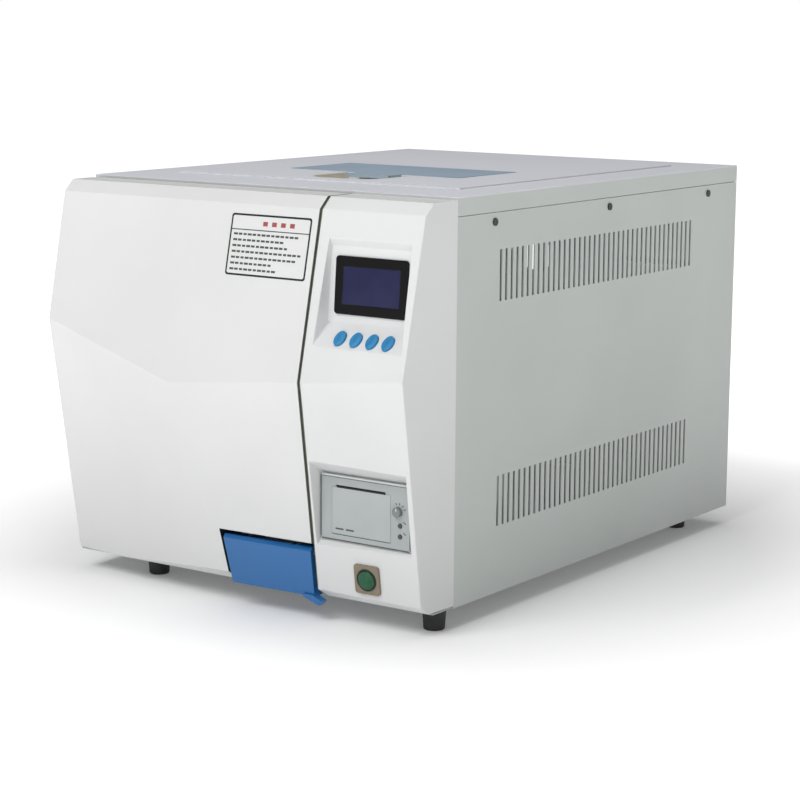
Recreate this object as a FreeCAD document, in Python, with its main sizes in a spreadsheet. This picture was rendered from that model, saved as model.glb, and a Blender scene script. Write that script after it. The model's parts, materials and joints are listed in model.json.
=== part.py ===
"""Benchtop steam autoclave: a sheet-metal cabinet round a horizontal pressure vessel, with a faceted
door hinged on the left, a control column on the right and a water tank under a lid in the top.

Lengths are in millimetres. The row frame has +Z up, the front towards -Y, and its origin under the
middle of the machine at the bottom of the feet. The pieces are laid out in the crease frame, whose
origin is on the bottom of the cabinet where its front meets the door, and keep() moves them across.
"""

import FreeCAD, Part
import math
import os

import Sketcher
from FreeCAD import Placement, Rotation, Vector

doc = FreeCAD.newDocument("benchtop_autoclave")
sheet = doc.addObject("Spreadsheet::Sheet", "Dims")

FAR = 2000.0  # reach of the cutting blocks, well outside the machine


# ---------------------------------------------------------------- sizes

class Size:
    """A number together with the spreadsheet expression that gives it."""

    def __init__(self, value, text):
        self.value = float(value)
        self.text = text

    def __add__(self, other):
        other = as_size(other)
        return Size(self.value + other.value, f"({self.text} + {other.text})")

    def __radd__(self, other):
        return as_size(other) + self

    def __sub__(self, other):
        other = as_size(other)
        return Size(self.value - other.value, f"({self.text} - {other.text})")

    def __rsub__(self, other):
        return as_size(other) - self

    def __mul__(self, other):
        other = as_size(other)
        return Size(self.value * other.value, f"({self.text} * {other.text})")

    def __rmul__(self, other):
        return as_size(other) * self

    def __truediv__(self, other):
        other = as_size(other)
        return Size(self.value / other.value, f"({self.text} / {other.text})")

    def __neg__(self):
        return Size(-self.value, f"(0 - {self.text})")


def as_size(item):
    """A Size as it is, or a plain number as a Size."""
    if isinstance(item, Size):
        return item
    text = f"{float(item):.6f}"
    return Size(item, text if item >= 0 else f"(0 - {float(-item):.6f})")


def root(size):
    return Size(math.sqrt(size.value), f"sqrt({size.text})")


sheet_row = 0


def size(alias, number):
    """Writes one driving dimension into the sheet and returns it."""
    global sheet_row
    sheet_row += 1
    sheet.set(f"A{sheet_row}", alias)
    sheet.set(f"B{sheet_row}", str(number))
    sheet.setAlias(f"B{sheet_row}", alias)
    return Size(number, f"Dims.{alias}")


# Cabinet
cabinet_width = size("cabinet_width", 480)
cabinet_depth = size("cabinet_depth", 600)
cabinet_height = size("cabinet_height", 416)
foot_height = size("foot_height", 22)
foot_radius = size("foot_radius", 12.5)
foot_taper = size("foot_taper", 1.5)
sheet_gauge = size("sheet_gauge", 1.5)
seam_gap = size("seam_gap", 0.6)
skirt_depth = size("skirt_depth", 19)
emboss_rise = size("emboss_rise", 1.5)
emboss_side = size("emboss_side", 52)
emboss_front = size("emboss_front", 81)
emboss_rear = size("emboss_rear", 68)
plinth_reach = size("plinth_reach", 34)
rear_reach = size("rear_reach", 14)
screw_radius = size("screw_radius", 4)
screw_proud = size("screw_proud", 1.6)

# Ventilation slits
slit_width = size("slit_width", 4.0)
slit_pitch = size("slit_pitch", 10.4)
slit_length = size("slit_length", 53)
slit_count = size("slit_count", 40)
slit_front = size("slit_front", 80)
slit_low = size("slit_low", 71)
slit_high = size("slit_high", 305.5)

# Front form shared by the door and the control column
form_height = size("form_height", 413)
form_edge_reach = size("form_edge_reach", 38.5)
form_brow_reach = size("form_brow_reach", 52)
form_brow_drop = size("form_brow_drop", 12)
face_slope = size("face_slope", 0.22)
side_draft = size("side_draft", 0.05)
knee_right = size("knee_right", 242.5)
knee_middle = size("knee_middle", 214.5)
knee_left = size("knee_left", 266.4)
knee_corner = size("knee_corner", 58)
chin_reach = size("chin_reach", 54)
chin_height = size("chin_height", 10)
facet_foot = size("facet_foot", 15)
facet_foot_height = size("facet_foot_height", 15)
lip_reach = size("lip_reach", 38)
form_floor = size("form_floor", 2.6)
door_edge = size("door_edge", 109.5)
column_gap = size("column_gap", 3)
shell_wall = size("shell_wall", 3)
door_gap = size("door_gap", 1.5)

# Pressure vessel
vessel_offset = size("vessel_offset", 65)
vessel_level = size("vessel_level", 190)
vessel_radius = size("vessel_radius", 125)
vessel_wall = size("vessel_wall", 3)
vessel_end = size("vessel_end", 478)
vessel_dish = size("vessel_dish", 30)
flange_proud = size("flange_proud", 2)
flange_radius = size("flange_radius", 145)
flange_depth = size("flange_depth", 14)
heater_gauge = size("heater_gauge", 2.5)
wrap_gauge = size("wrap_gauge", 18)
fit_gap = size("fit_gap", 0.3)
pivot_gap = size("pivot_gap", 0.05)

# Trays
tray_length = size("tray_length", 425)
tray_rim = size("tray_rim", 14)
tray_gauge = size("tray_gauge", 1)
tray_pitch = size("tray_pitch", 46)
rack_low = size("rack_low", 79)
rack_high = size("rack_high", 62)
rack_gauge = size("rack_gauge", 1.5)
rack_margin = size("rack_margin", 7)
ledge = size("ledge", 8)

# Door furniture
hinge_inset = size("hinge_inset", 13.2)
hinge_setback = size("hinge_setback", 14)
knuckle_radius = size("knuckle_radius", 8)
hinge_pin_radius = size("hinge_pin_radius", 4)
knuckle_height = size("knuckle_height", 24)
knuckle_side = size("knuckle_side", 12)
hinge_low = size("hinge_low", 100)
hinge_high = size("hinge_high", 292)
closure_radius = size("closure_radius", 143)
closure_gauge = size("closure_gauge", 8)
seal_inner = size("seal_inner", 128)
seal_outer = size("seal_outer", 139)
beam_gauge = size("beam_gauge", 5)
handle_left = size("handle_left", 5.5)
handle_right = size("handle_right", 106.8)
handle_top = size("handle_top", 56)
handle_low = size("handle_low", 3.5)
handle_lean = size("handle_lean", 7.5)
handle_gauge = size("handle_gauge", 14)
handle_skin = size("handle_skin", 3)
handle_gap = size("handle_gap", 2.5)
handle_pin_radius = size("handle_pin_radius", 3)
grip_rear = size("grip_rear", 34)
grip_headroom = size("grip_headroom", 5.5)
handle_chamfer = size("handle_chamfer", 4)
handle_pivot_back = size("handle_pivot_back", 56.5)
handle_pivot_level = size("handle_pivot_level", 50)
lug_radius = size("lug_radius", 4.5)
lug_width = size("lug_width", 6)
lug_left = size("lug_left", 18)
lug_right = size("lug_right", 80)
latch_left = size("latch_left", 88)
latch_width = size("latch_width", 12)
latch_gauge = size("latch_gauge", 4)
latch_back = size("latch_back", 23)
latch_low = size("latch_low", 110)
latch_high = size("latch_high", 308)
latch_height = size("latch_height", 12)
latch_nose = size("latch_nose", 1.2)

# Display and keys
display_left = size("display_left", 122)
display_right = size("display_right", 229.5)
display_low = size("display_low", 267)
display_high = size("display_high", 374)
display_step = size("display_step", 290)
display_brow = size("display_brow", 366)
display_lean = size("display_lean", 0.07)
display_depth = size("display_depth", 18)
bezel_width = size("bezel_width", 88)
bezel_height = size("bezel_height", 58)
bezel_gauge = size("bezel_gauge", 2)
screen_width = size("screen_width", 69)
screen_height = size("screen_height", 37.5)
display_centre = size("display_centre", 176.6)
display_level = size("display_level", 327.6)
key_pitch = size("key_pitch", 19.4)
key_half_width = size("key_half_width", 6.4)
key_half_height = size("key_half_height", 9.1)
key_proud = size("key_proud", 2.4)
key_length = size("key_length", 9)
key_centre = size("key_centre", 179.7)
key_level = size("key_level", 276)

# Printer and power switch
printer_left = size("printer_left", 116)
printer_right = size("printer_right", 230.5)
printer_low = size("printer_low", 62.5)
printer_high = size("printer_high", 148.5)
plate_left = size("plate_left", 117.5)
plate_width = size("plate_width", 111)
plate_low = size("plate_low", 68)
plate_height = size("plate_height", 68)
plate_gauge = size("plate_gauge", 3)
plate_setback = size("plate_setback", 60.6)
flap_left = size("flap_left", 131.5)
flap_width = size("flap_width", 73)
flap_low = size("flap_low", 74)
flap_height = size("flap_height", 49.5)
paper_width = size("paper_width", 57)
paper_radius = size("paper_radius", 18)
dial_place = size("dial_place", 213.8)
dial_level = size("dial_level", 107.6)
dial_radius = size("dial_radius", 5)
small_key_place = size("small_key_place", 216)
small_key_radius = size("small_key_radius", 2.2)
switch_left = size("switch_left", 161)
switch_width = size("switch_width", 30)
switch_low = size("switch_low", 17.2)
switch_height = size("switch_height", 31)
switch_gauge = size("switch_gauge", 2.5)
lamp_radius = size("lamp_radius", 10)

# Water tank and lid
lid_left = size("lid_left", 119)
lid_width = size("lid_width", 231)
lid_front = size("lid_front", 194)
lid_depth = size("lid_depth", 115)
lid_gauge = size("lid_gauge", 3.5)
lid_gap = size("lid_gap", 0.5)
lid_proud = size("lid_proud", 0.5)
tab_left = size("tab_left", 20)
tab_width = size("tab_width", 57)
tab_reach = size("tab_reach", 28)
cup_reach = size("cup_reach", 82.5)
cup_side = size("cup_side", 17)
tip_reach = size("tip_reach", 118)
tip_drop = size("tip_drop", 4.3)
cup_depth = size("cup_depth", 9)
frame_wall = size("frame_wall", 3)
frame_depth = size("frame_depth", 13)
frame_ledge = size("frame_ledge", 6)
tank_left = size("tank_left", 150)
tank_width = size("tank_width", 290)
tank_front = size("tank_front", 196)
tank_depth = size("tank_depth", 248)
tank_base = size("tank_base", 343)
tank_wall = size("tank_wall", 3)

# Rear services
trunnion_radius = size("trunnion_radius", 1)
fan_radius = size("fan_radius", 55)
fan_place = size("fan_place", 165)
fan_level = size("fan_level", 240)
socket_width = size("socket_width", 48)
socket_height = size("socket_height", 28)

socket_x = size("socket_x", -150)
socket_level = size("socket_level", 60)
spigot_level = size("spigot_level", 45)
spigot_radius = size("spigot_radius", 8)
bay_x = size("bay_x", 165)
spigot_places = (-60.0, -20.0)

# Derived levels and places
rack_chord = root(vessel_radius * vessel_radius - rack_low * rack_low)
tray_width = 2 * (rack_chord - rack_margin - rack_gauge - fit_gap)
half_width = cabinet_width / 2
skirt_level = cabinet_height - skirt_depth
roof_level = cabinet_height + emboss_rise
brow_level = form_height - form_brow_drop
column_edge = door_edge + column_gap
hinge_x = hinge_inset - half_width
front_reach = form_brow_reach + face_slope * (brow_level - knee_middle)
crease_y = (front_reach - cabinet_depth - rear_reach) / 2
inner_half = half_width - sheet_gauge - seam_gap


def face_y(level):
    """Place of the upper front face, in the crease frame, at a height."""
    return -form_brow_reach - face_slope * (brow_level - level)


# ---------------------------------------------------------------- modelling helpers

places = {}
kept = []
TURNS = {
    "Z": Rotation(),
    "X": Rotation(Vector(0, 1, 0), 90),
    "Y": Rotation(Vector(1, 0, 0), -90),
}


def bind(item, prop, amount):
    item.setExpression(prop, as_size(amount).text)


def bind_place(item, x, y, z):
    for axis, amount in zip("xyz", (x, y, z)):
        bind(item, f"Placement.Base.{axis}", amount)


def put(item, x, y, z, turn=None):
    """Sets where an item stands, with an optional Rotation."""
    item.Placement = Placement(Vector(), turn or Rotation())
    places[item.Name] = (as_size(x), as_size(y), as_size(z))
    bind_place(item, x, y, z)
    return item


def box(name, x, y, z, length, width, height):
    item = doc.addObject("Part::Box", name)
    bind(item, "Length", length)
    bind(item, "Width", width)
    bind(item, "Height", height)
    return put(item, x, y, z)


def rod(name, x, y, z, radius, length, axis="Z"):
    item = doc.addObject("Part::Cylinder", name)
    bind(item, "Radius", radius)
    bind(item, "Height", length)
    return put(item, x, y, z, TURNS[axis])


def cone(name, x, y, z, low_radius, high_radius, length, axis="Z"):
    item = doc.addObject("Part::Cone", name)
    bind(item, "Radius1", low_radius)
    bind(item, "Radius2", high_radius)
    bind(item, "Height", length)
    return put(item, x, y, z, TURNS[axis])


def ring(name, x, y, z, outer, inner, length, axis="Z"):
    return cut(name, rod(name + "_outer", x, y, z, outer, length, axis),
               rod(name + "_bore", x, y, z, inner, length, axis))


def group(name, pieces):
    item = doc.addObject("Part::Compound", name)
    item.Links = pieces
    return item


def fuse(name, pieces):
    item = doc.addObject("Part::MultiFuse", name)
    item.Shapes = pieces
    return item


def cut(name, base, *tools):
    item = doc.addObject("Part::Cut", name)
    item.Base = base
    item.Tool = tools[0] if len(tools) == 1 else fuse(name + "_tools", list(tools))
    return item


def solid(name, shape):
    """A piece whose shape is worked out from the sheet's values in code."""
    item = doc.addObject("Part::Feature", name)
    item.Shape = shape
    return item


def keep(item, label):
    """Moves a finished sub-part from the crease frame to the row frame and names its node."""
    x, y, z = places.get(item.Name, (0, 0, 0))
    bind_place(item, x, as_size(y) + crease_y, as_size(z) + foot_height)
    item.Label = label
    kept.append(item)
    return item


# PartDesign

def new_body(name):
    return doc.addObject("PartDesign::Body", name)


def new_sketch(body, plane, name, offset=0):
    """A sketch on one of the body's origin planes, moved along the plane's normal."""
    sketch = body.newObject("Sketcher::SketchObject", name)
    support = [f for f in body.Origin.OriginFeatures if f.Role == plane][0]
    sketch.AttachmentSupport = [(support, "")]
    sketch.MapMode = "FlatFace"
    bind(sketch, "AttachmentOffset.Base.z", offset)
    return sketch


def pin_point(sketch, geo, end, x, y):
    """Holds one point of a sketch at bound coordinates."""
    for kind, axis, amount in (("DistanceX", -2, as_size(x)), ("DistanceY", -1, as_size(y))):
        if amount.value == 0.0:
            sketch.addConstraint(Sketcher.Constraint("PointOnObject", geo, end, axis))
            continue
        row = sketch.addConstraint(Sketcher.Constraint(kind, -1, 1, geo, end, amount.value))
        sketch.setExpression(f"Constraints[{row}]", amount.text)


def outline(sketch, points):
    """A closed outline of straight runs. A point (x, y, centre_x, centre_y) starts an arc to the next
    point about that centre, counter-clockwise."""
    rows = []
    for i, point in enumerate(points):
        after = points[(i + 1) % len(points)]
        start = Vector(as_size(point[0]).value, as_size(point[1]).value, 0)
        stop = Vector(as_size(after[0]).value, as_size(after[1]).value, 0)
        if len(point) == 2:
            rows.append((sketch.addGeometry(Part.LineSegment(start, stop)), False))
            continue
        centre = Vector(as_size(point[2]).value, as_size(point[3]).value, 0)
        circle = Part.Circle(centre, Vector(0, 0, 1), (start - centre).Length)
        first = math.atan2(start.y - centre.y, start.x - centre.x)
        last = math.atan2(stop.y - centre.y, stop.x - centre.x)
        if last <= first:
            last += 2 * math.pi
        rows.append((sketch.addGeometry(Part.ArcOfCircle(circle, first, last)), True))
    for i, (row, _) in enumerate(rows):
        following = rows[(i + 1) % len(rows)][0]
        sketch.addConstraint(Sketcher.Constraint("Coincident", row, 2, following, 1))
    for point, (row, is_arc) in zip(points, rows):
        pin_point(sketch, row, 1, point[0], point[1])
        if is_arc and as_size(point[2]).value == 0.0:
            sketch.addConstraint(Sketcher.Constraint("PointOnObject", row, 3, -2))


def disc(sketch, x, y, radius):
    row = sketch.addGeometry(Part.Circle(Vector(as_size(x).value, as_size(y).value, 0), Vector(0, 0, 1),
                                         as_size(radius).value))
    pin_point(sketch, row, 3, x, y)
    mark = sketch.addConstraint(Sketcher.Constraint("Radius", row, as_size(radius).value))
    sketch.setExpression(f"Constraints[{mark}]", as_size(radius).text)


def block(sketch, x, y, width, height):
    """A rectangle from its low corner and its size."""
    outline(sketch, [(x, y), (x + width, y), (x + width, y + height), (x, y + height)])


def pad(body, sketch, length, name, back=False):
    item = body.newObject("PartDesign::Pad", name)
    item.Profile = sketch
    bind(item, "Length", length)
    item.Reversed = back
    return item


def pocket(body, sketch, length, name, back=False):
    item = body.newObject("PartDesign::Pocket", name)
    item.Profile = sketch
    bind(item, "Length", length)
    item.Reversed = back
    return item


def turned(name, x, y, z, points, axis="Y"):
    """A body of revolution: (radius, distance) points, spun about the axis through (x, y, z)."""
    body = new_body(name)
    sketch = new_sketch(body, "XZ_Plane", name + "_profile")
    outline(sketch, points)
    spin = body.newObject("PartDesign::Revolution", name + "_spin")
    spin.Profile = sketch
    spin.ReferenceAxis = (sketch, ["V_Axis"])
    spin.Angle = 360
    return put(body, x, y, z, TURNS[axis])


def prism(name, plane, points, start, length, back=False):
    """A body padded from a closed outline in an origin plane."""
    body = new_body(name)
    sketch = new_sketch(body, plane, name + "_outline", start)
    outline(sketch, points)
    pad(body, sketch, length, name + "_pad", back)
    return put(body, 0, 0, 0)


# Plane-bounded solids, worked out in code

def vec(x, y, z):
    return Vector(as_size(x).value, as_size(y).value, as_size(z).value)


def slice_off(shape, point, normal, inset):
    """Cuts away what lies further out than a plane moved inwards by inset."""
    normal = Vector(normal).normalize()
    block_shape = Part.makeBox(FAR, FAR, FAR, Vector(-FAR / 2, -FAR / 2, 0))
    block_shape.Placement = Placement(point - normal * inset, Rotation(Vector(0, 0, 1), normal))
    return shape.cut(block_shape)


def facet_solid(planes, inset=0.0):
    """The convex solid behind every plane, each moved inwards by inset."""
    shape = Part.makeBox(FAR, FAR, FAR, Vector(-FAR / 2, -FAR / 2, -FAR / 2))
    for point, normal in planes:
        shape = slice_off(shape, point, normal, inset)
    return shape


def plane_through(first, second, third):
    """A plane with its normal towards the front."""
    normal = (second - first).cross(third - first)
    if normal.y > 0:
        normal = normal * -1
    return first, normal


# ---------------------------------------------------------------- front form

right_knee = vec(half_width, face_y(knee_right), knee_right)
middle_knee = vec(-knee_corner, face_y(knee_middle), knee_middle)
left_knee = vec(-half_width, face_y(knee_left), knee_left)
right_chin = vec(half_width, -chin_reach, chin_height)
MAIN_FACE = plane_through(right_knee, middle_knee, right_chin)


def main_face_y(x, level):
    """Place of the lower main face, worked out from its plane."""
    point, normal = MAIN_FACE
    x = as_size(x).value
    level = as_size(level).value
    return point.y - ((x - point.x) * normal.x + (level - point.z) * normal.z) / normal.y


facet_toe = vec(-facet_foot, main_face_y(-facet_foot, facet_foot_height), facet_foot_height)
LEFT_FACET = plane_through(left_knee, middle_knee, facet_toe)
UPPER_FACE = (vec(0, -form_brow_reach, brow_level), Vector(0, -1, face_slope.value))
BROW = (vec(0, -form_brow_reach, brow_level),
        Vector(0, -form_brow_drop.value, (form_brow_reach - form_edge_reach).value))
CHIN = plane_through(right_chin, facet_toe, vec(half_width, -lip_reach, 0))
CROWN = (vec(0, 0, form_height), Vector(0, 0, 1))
SOLE = (vec(0, 0, form_floor), Vector(0, 0, -1))
LEFT_SIDE = (vec(-half_width, 0, 0), Vector(-1, -side_draft.value, 0))
RIGHT_SIDE = (vec(half_width, 0, 0), Vector(1, -side_draft.value, 0))
FRONT_FACES = [UPPER_FACE, BROW, MAIN_FACE, LEFT_FACET, CHIN, CROWN, SOLE, LEFT_SIDE, RIGHT_SIDE]
DOOR_SIDE = (vec(door_edge, 0, 0), Vector(1, 0, 0))
COLUMN_SIDE = (vec(column_edge, 0, 0), Vector(-1, 0, 0))


def open_shell(planes, rear, trim=None):
    """A shell of even wall behind the front faces, open at the rear. Returns shell and outer form."""
    outer = facet_solid(planes + [(vec(0, rear, 0), Vector(0, 1, 0))])
    hollow = facet_solid(planes, shell_wall.value)
    if trim:
        outer = trim(outer, 0.0)
        hollow = trim(hollow, shell_wall.value)
    return outer.cut(hollow), outer


# ---------------------------------------------------------------- cabinet

def make_base_pan():
    plate = box("pan_plate", -inner_half, -plinth_reach, 0, inner_half * 2,
                plinth_reach + cabinet_depth - sheet_gauge - seam_gap, sheet_gauge)
    keep(fuse("pan", [plate] + [
        box(f"pan_fold_{i}", -inner_half, y, sheet_gauge, inner_half * 2, sheet_gauge, 12)
        for i, y in enumerate((sheet_gauge + 2 * seam_gap,
                               cabinet_depth - 2 * sheet_gauge - 2 * seam_gap))]), "base_pan")


def slit_row(body, level, name, tip):
    """One band of upright slits through a side panel, repeated along its length."""
    sketch = new_sketch(body, "YZ_Plane", name + "_slit")
    block(sketch, slit_front - slit_width / 2, level, slit_width, slit_length)
    hole = pocket(body, sketch, sheet_gauge, name + "_first", back=True)
    row = body.newObject("PartDesign::LinearPattern", name + "_row")
    row.Originals = [hole]
    row.Direction = (sketch, ["H_Axis"])
    bind(row, "Length", slit_pitch * (slit_count - 1))
    bind(row, "Occurrences", slit_count)
    body.Tip = row
    return row


screw_level = skirt_level - 10
screw_places = [cabinet_depth * share for share in (0.112, 0.495, 0.878)]


def make_side_panel(label, x):
    """An outer side sheet, from x outwards to the right, with two bands of slits and screw holes."""
    body = new_body(label + "_sheet")
    sketch = new_sketch(body, "YZ_Plane", label + "_outline")
    block(sketch, 0, 0, cabinet_depth, skirt_level - seam_gap)
    pad(body, sketch, sheet_gauge, label + "_pad")
    slit_row(body, slit_low, label + "_low", None)
    slit_row(body, slit_high, label + "_high", None)
    holes = new_sketch(body, "YZ_Plane", label + "_holes")
    for y in screw_places:
        disc(holes, y, screw_level, 2)
    pocket(body, holes, sheet_gauge, label + "_screw_holes", back=True)
    put(body, x, 0, 0)
    keep(body, label)


cup_left = tab_left + cup_side
cup_front = lid_front - lid_gap - frame_wall - cup_reach


def cup_outline(spread):
    """The finger cup's outline, grown by spread: straight sides and rounded front corners."""
    corner = 30 + spread
    left = -cup_left - spread
    right = tab_width - tab_left + cup_side + spread
    front = cup_front - spread
    rear = lid_front - lid_gap - frame_wall
    return [(left, rear), (left, front + corner, left + corner, front + corner),
            (left + corner, front), (right - corner, front, right - corner, front + corner),
            (right, front + corner), (right, rear)]


frame_left = lid_left + lid_gap + frame_wall
frame_front = lid_front - lid_gap - frame_wall
frame_width = lid_width + 2 * (lid_gap + frame_wall)
frame_length = lid_depth + 2 * (lid_gap + frame_wall)


def make_top_cover():
    outer = box("roof_outer", -half_width, 0, skirt_level, cabinet_width, cabinet_depth, skirt_depth)
    step = box("roof_step", emboss_side - half_width, emboss_front, cabinet_height,
               cabinet_width - 2 * emboss_side, cabinet_depth - emboss_front - emboss_rear, emboss_rise)
    hollow = box("roof_hollow", sheet_gauge - half_width, sheet_gauge, skirt_level,
                 cabinet_width - 2 * sheet_gauge, cabinet_depth - 2 * sheet_gauge,
                 skirt_depth - sheet_gauge)
    step_hollow = box("roof_step_hollow", emboss_side - half_width + sheet_gauge,
                      emboss_front + sheet_gauge, cabinet_height - sheet_gauge,
                      cabinet_width - 2 * emboss_side - 2 * sheet_gauge,
                      cabinet_depth - emboss_front - emboss_rear - 2 * sheet_gauge, emboss_rise)
    mouth = box("roof_mouth", -frame_left - fit_gap, frame_front - fit_gap, skirt_level,
                frame_width + 2 * fit_gap, frame_length + 2 * fit_gap, skirt_depth + emboss_rise)
    cup_hole = prism("roof_cup_hole", "XY_Plane", cup_outline(fit_gap), skirt_level,
                     skirt_depth + emboss_rise)
    keep(cut("roof", fuse("roof_blank", [outer, step]), hollow, step_hollow, mouth, cup_hole),
         "top_cover")


def make_rear_panel():
    body = new_body("rear_sheet")
    sketch = new_sketch(body, "XZ_Plane", "rear_outline")
    block(sketch, -inner_half, sheet_gauge + seam_gap, inner_half * 2,
          skirt_level - sheet_gauge - 2 * seam_gap)
    pad(body, sketch, sheet_gauge, "rear_pad")
    holes = new_sketch(body, "XZ_Plane", "rear_holes")
    disc(holes, fan_place, fan_level, fan_radius)
    block(holes, socket_x - socket_width / 2, socket_level - socket_height / 2, socket_width,
          socket_height)
    for x in spigot_places:
        disc(holes, x, spigot_level, spigot_radius)
    pocket(body, holes, sheet_gauge, "rear_openings", back=True)
    vents = new_sketch(body, "XZ_Plane", "rear_vent")
    block(vents, -180, 250, slit_width, slit_length)
    first = pocket(body, vents, sheet_gauge, "rear_vent_first", back=True)
    row = body.newObject("PartDesign::LinearPattern", "rear_vent_row")
    row.Originals = [first]
    row.Direction = (vents, ["H_Axis"])
    bind(row, "Length", slit_pitch * 15)
    row.Occurrences = 16
    body.Tip = row
    put(body, 0, cabinet_depth, 0)
    keep(body, "rear_panel")


def make_bulkhead():
    plate = box("bulkhead_plate", -inner_half, 0, sheet_gauge + seam_gap, inner_half * 2, sheet_gauge,
                skirt_level - sheet_gauge - 2 * seam_gap)
    bore = rod("bulkhead_bore", -vessel_offset, -1, vessel_level, flange_radius + fit_gap, 5, "Y")
    window = box("bulkhead_window", column_edge + 12, -1, printer_low, 104, 5, display_high - printer_low)
    slots = [box(f"bulkhead_slot_{i}", hinge_x - 2.3, -1, level - 1, 4.6, 5, knuckle_height + 2)
             for i, level in enumerate((hinge_low, hinge_high))]
    keep(cut("bulkhead", plate, bore, window, *slots), "front_bulkhead")


FOOT_PLACES = [
    (half_width - 18, -8),
    (-152, -2),
    (half_width - 40, cabinet_depth - 55),
    (-152, cabinet_depth - 55),
]


def make_feet():
    keep(group("foot_set", [
        cone(f"foot_{i}", x, y, -foot_height, foot_radius - foot_taper, foot_radius, foot_height)
        for i, (x, y) in enumerate(FOOT_PLACES)]), "feet")


def make_screws():
    pieces = []
    for side, sign in (("left", -1), ("right", 1)):
        for i, y in enumerate(screw_places):
            head = half_width if sign > 0 else -half_width - screw_proud
            shank = half_width - 6 if sign > 0 else -half_width
            pieces.append(fuse(f"screw_{side}_{i}", [
                rod(f"screw_head_{side}_{i}", head, y, screw_level, screw_radius, screw_proud, "X"),
                rod(f"screw_shank_{side}_{i}", shank, y, screw_level, 1.9, 6, "X")]))
    keep(group("screw_set", pieces), "case_screws")


# ---------------------------------------------------------------- pressure vessel

def make_vessel():
    inner = vessel_radius
    outer = vessel_radius + vessel_wall
    start = flange_depth - flange_proud
    dish = vessel_dish
    bowl_in = (inner * inner + dish * dish) / (2 * dish)
    bowl_out = bowl_in + vessel_wall
    shoulder = root(bowl_out * bowl_out - outer * outer)
    centre = vessel_end + dish - bowl_in
    vessel = turned("vessel", -vessel_offset, 0, vessel_level, [
        (inner, start), (outer, start), (outer, centre + shoulder, 0, centre),
        (0, centre + bowl_out), (0, centre + bowl_in), (inner, vessel_end)])
    keep(vessel, "pressure_vessel")


def make_vessel_parts():
    outer = vessel_radius + vessel_wall
    keep(ring("flange", -vessel_offset, -flange_proud, vessel_level, flange_radius, vessel_radius,
              flange_depth, "Y"), "vessel_flange")
    heater_outer = outer + heater_gauge
    keep(ring("heater", -vessel_offset, 60, vessel_level, heater_outer, outer, vessel_end - 140, "Y"),
         "band_heater")
    wrap_inner = heater_outer + fit_gap
    keep(ring("wrap", -vessel_offset, flange_depth, vessel_level, wrap_inner + wrap_gauge, wrap_inner,
              vessel_end - flange_depth - 30, "Y"), "thermal_wrap")
    saddles = []
    seat = wrap_inner + wrap_gauge
    for i, y in enumerate((90, cabinet_depth - 210)):
        saddles.append(cut(
            f"saddle_{i}",
            box(f"saddle_blank_{i}", -vessel_offset - 90, y, sheet_gauge, 180, 4,
                vessel_level - 115),
            rod(f"saddle_seat_{i}", -vessel_offset, y - 1, vessel_level, seat, 6, "Y")))
    keep(group("saddles", saddles), "vessel_cradle")


tray_levels = [vessel_level - 60 + tray_pitch * i for i in range(3)]


def make_tray(number, level):
    """A perforated instrument tray with a low rim."""
    left = -vessel_offset - tray_width / 2
    pan = cut(f"tray_pan_{number}",
              box(f"tray_blank_{number}", left, 22, level, tray_width, tray_length, tray_rim),
              box(f"tray_bowl_{number}", left + tray_gauge, 22 + tray_gauge, level + tray_gauge,
                  tray_width - 2 * tray_gauge, tray_length - 2 * tray_gauge, tray_rim))
    slots = [box(f"tray_slot_{number}_{i}", left + 20, 22 + tray_length * (i + 0.5) / 9, level - 1,
                 tray_width - 40, 6, tray_gauge + 2)
             for i in range(9)]
    keep(cut(f"tray_{number}", pan, *slots), f"instrument_tray_{number}")


def make_rack():
    """Two side plates with ledges under each tray, tied by bars across the bottom."""
    pieces = []
    half = tray_width / 2 + fit_gap
    for side, sign in (("left", -1), ("right", 1)):
        plate_x = -vessel_offset + (half if sign > 0 else -half - rack_gauge)
        pieces.append(box(f"rack_side_{side}", plate_x, 18, vessel_level - rack_low, rack_gauge,
                          tray_length + 8, rack_low + rack_high))
        ledge_x = -vessel_offset + (half - ledge if sign > 0 else -half)
        for i, level in enumerate(tray_levels):
            pieces.append(box(f"rack_ledge_{side}_{i}", ledge_x, 18, level - rack_gauge, ledge,
                              tray_length + 8, rack_gauge))
    for i, y in enumerate((18, 18 + tray_length - 4)):
        pieces.append(box(f"rack_tie_{i}", -vessel_offset - half, y, vessel_level - rack_low, half * 2,
                          12, rack_gauge))
    keep(fuse("rack", pieces), "tray_rack")


# ---------------------------------------------------------------- door

def round_hinge_edge(shape, inset):
    """Rounds the rear left edge about the hinge axis, so the edge clears the cabinet as it swings."""
    corner = Part.makeBox(FAR, FAR, FAR, Vector(hinge_x.value - FAR, -hinge_setback.value, -FAR / 2))
    radius = (hinge_setback - door_gap).value - inset
    post = Part.makeCylinder(radius, FAR, Vector(hinge_x.value, -hinge_setback.value, -FAR / 2))
    return shape.cut(corner.cut(post))


def handle_outline(spread, top, low, right):
    """The handle's upright outline in the front plane, grown by spread, with its leaning left edge."""
    slope = handle_lean.value / (handle_top - handle_low).value
    top = as_size(top).value
    low = as_size(low).value

    def left(level):
        return -handle_left.value + slope * (handle_top.value - level) - spread

    return [Vector(left(top), 0, top), Vector(right, 0, top), Vector(right, 0, low),
            Vector(left(low), 0, low)]


def upright_prism(points, front, rear):
    """Extrudes an upright outline from front to rear."""
    moved = [Vector(p.x, front, p.z) for p in points]
    return Part.Face(Part.makePolygon(moved + moved[:1])).extrude(Vector(0, rear - front, 0))


def grip_hollow(spread):
    """The recess round the handle: open to the front, the right and below."""
    wall = spread.value if isinstance(spread, Size) else spread
    top = handle_top.value + grip_headroom.value + wall
    points = handle_outline(handle_gap.value + wall, top, -60.0, FAR)
    return upright_prism(points, -FAR, -grip_rear.value + wall)


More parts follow.
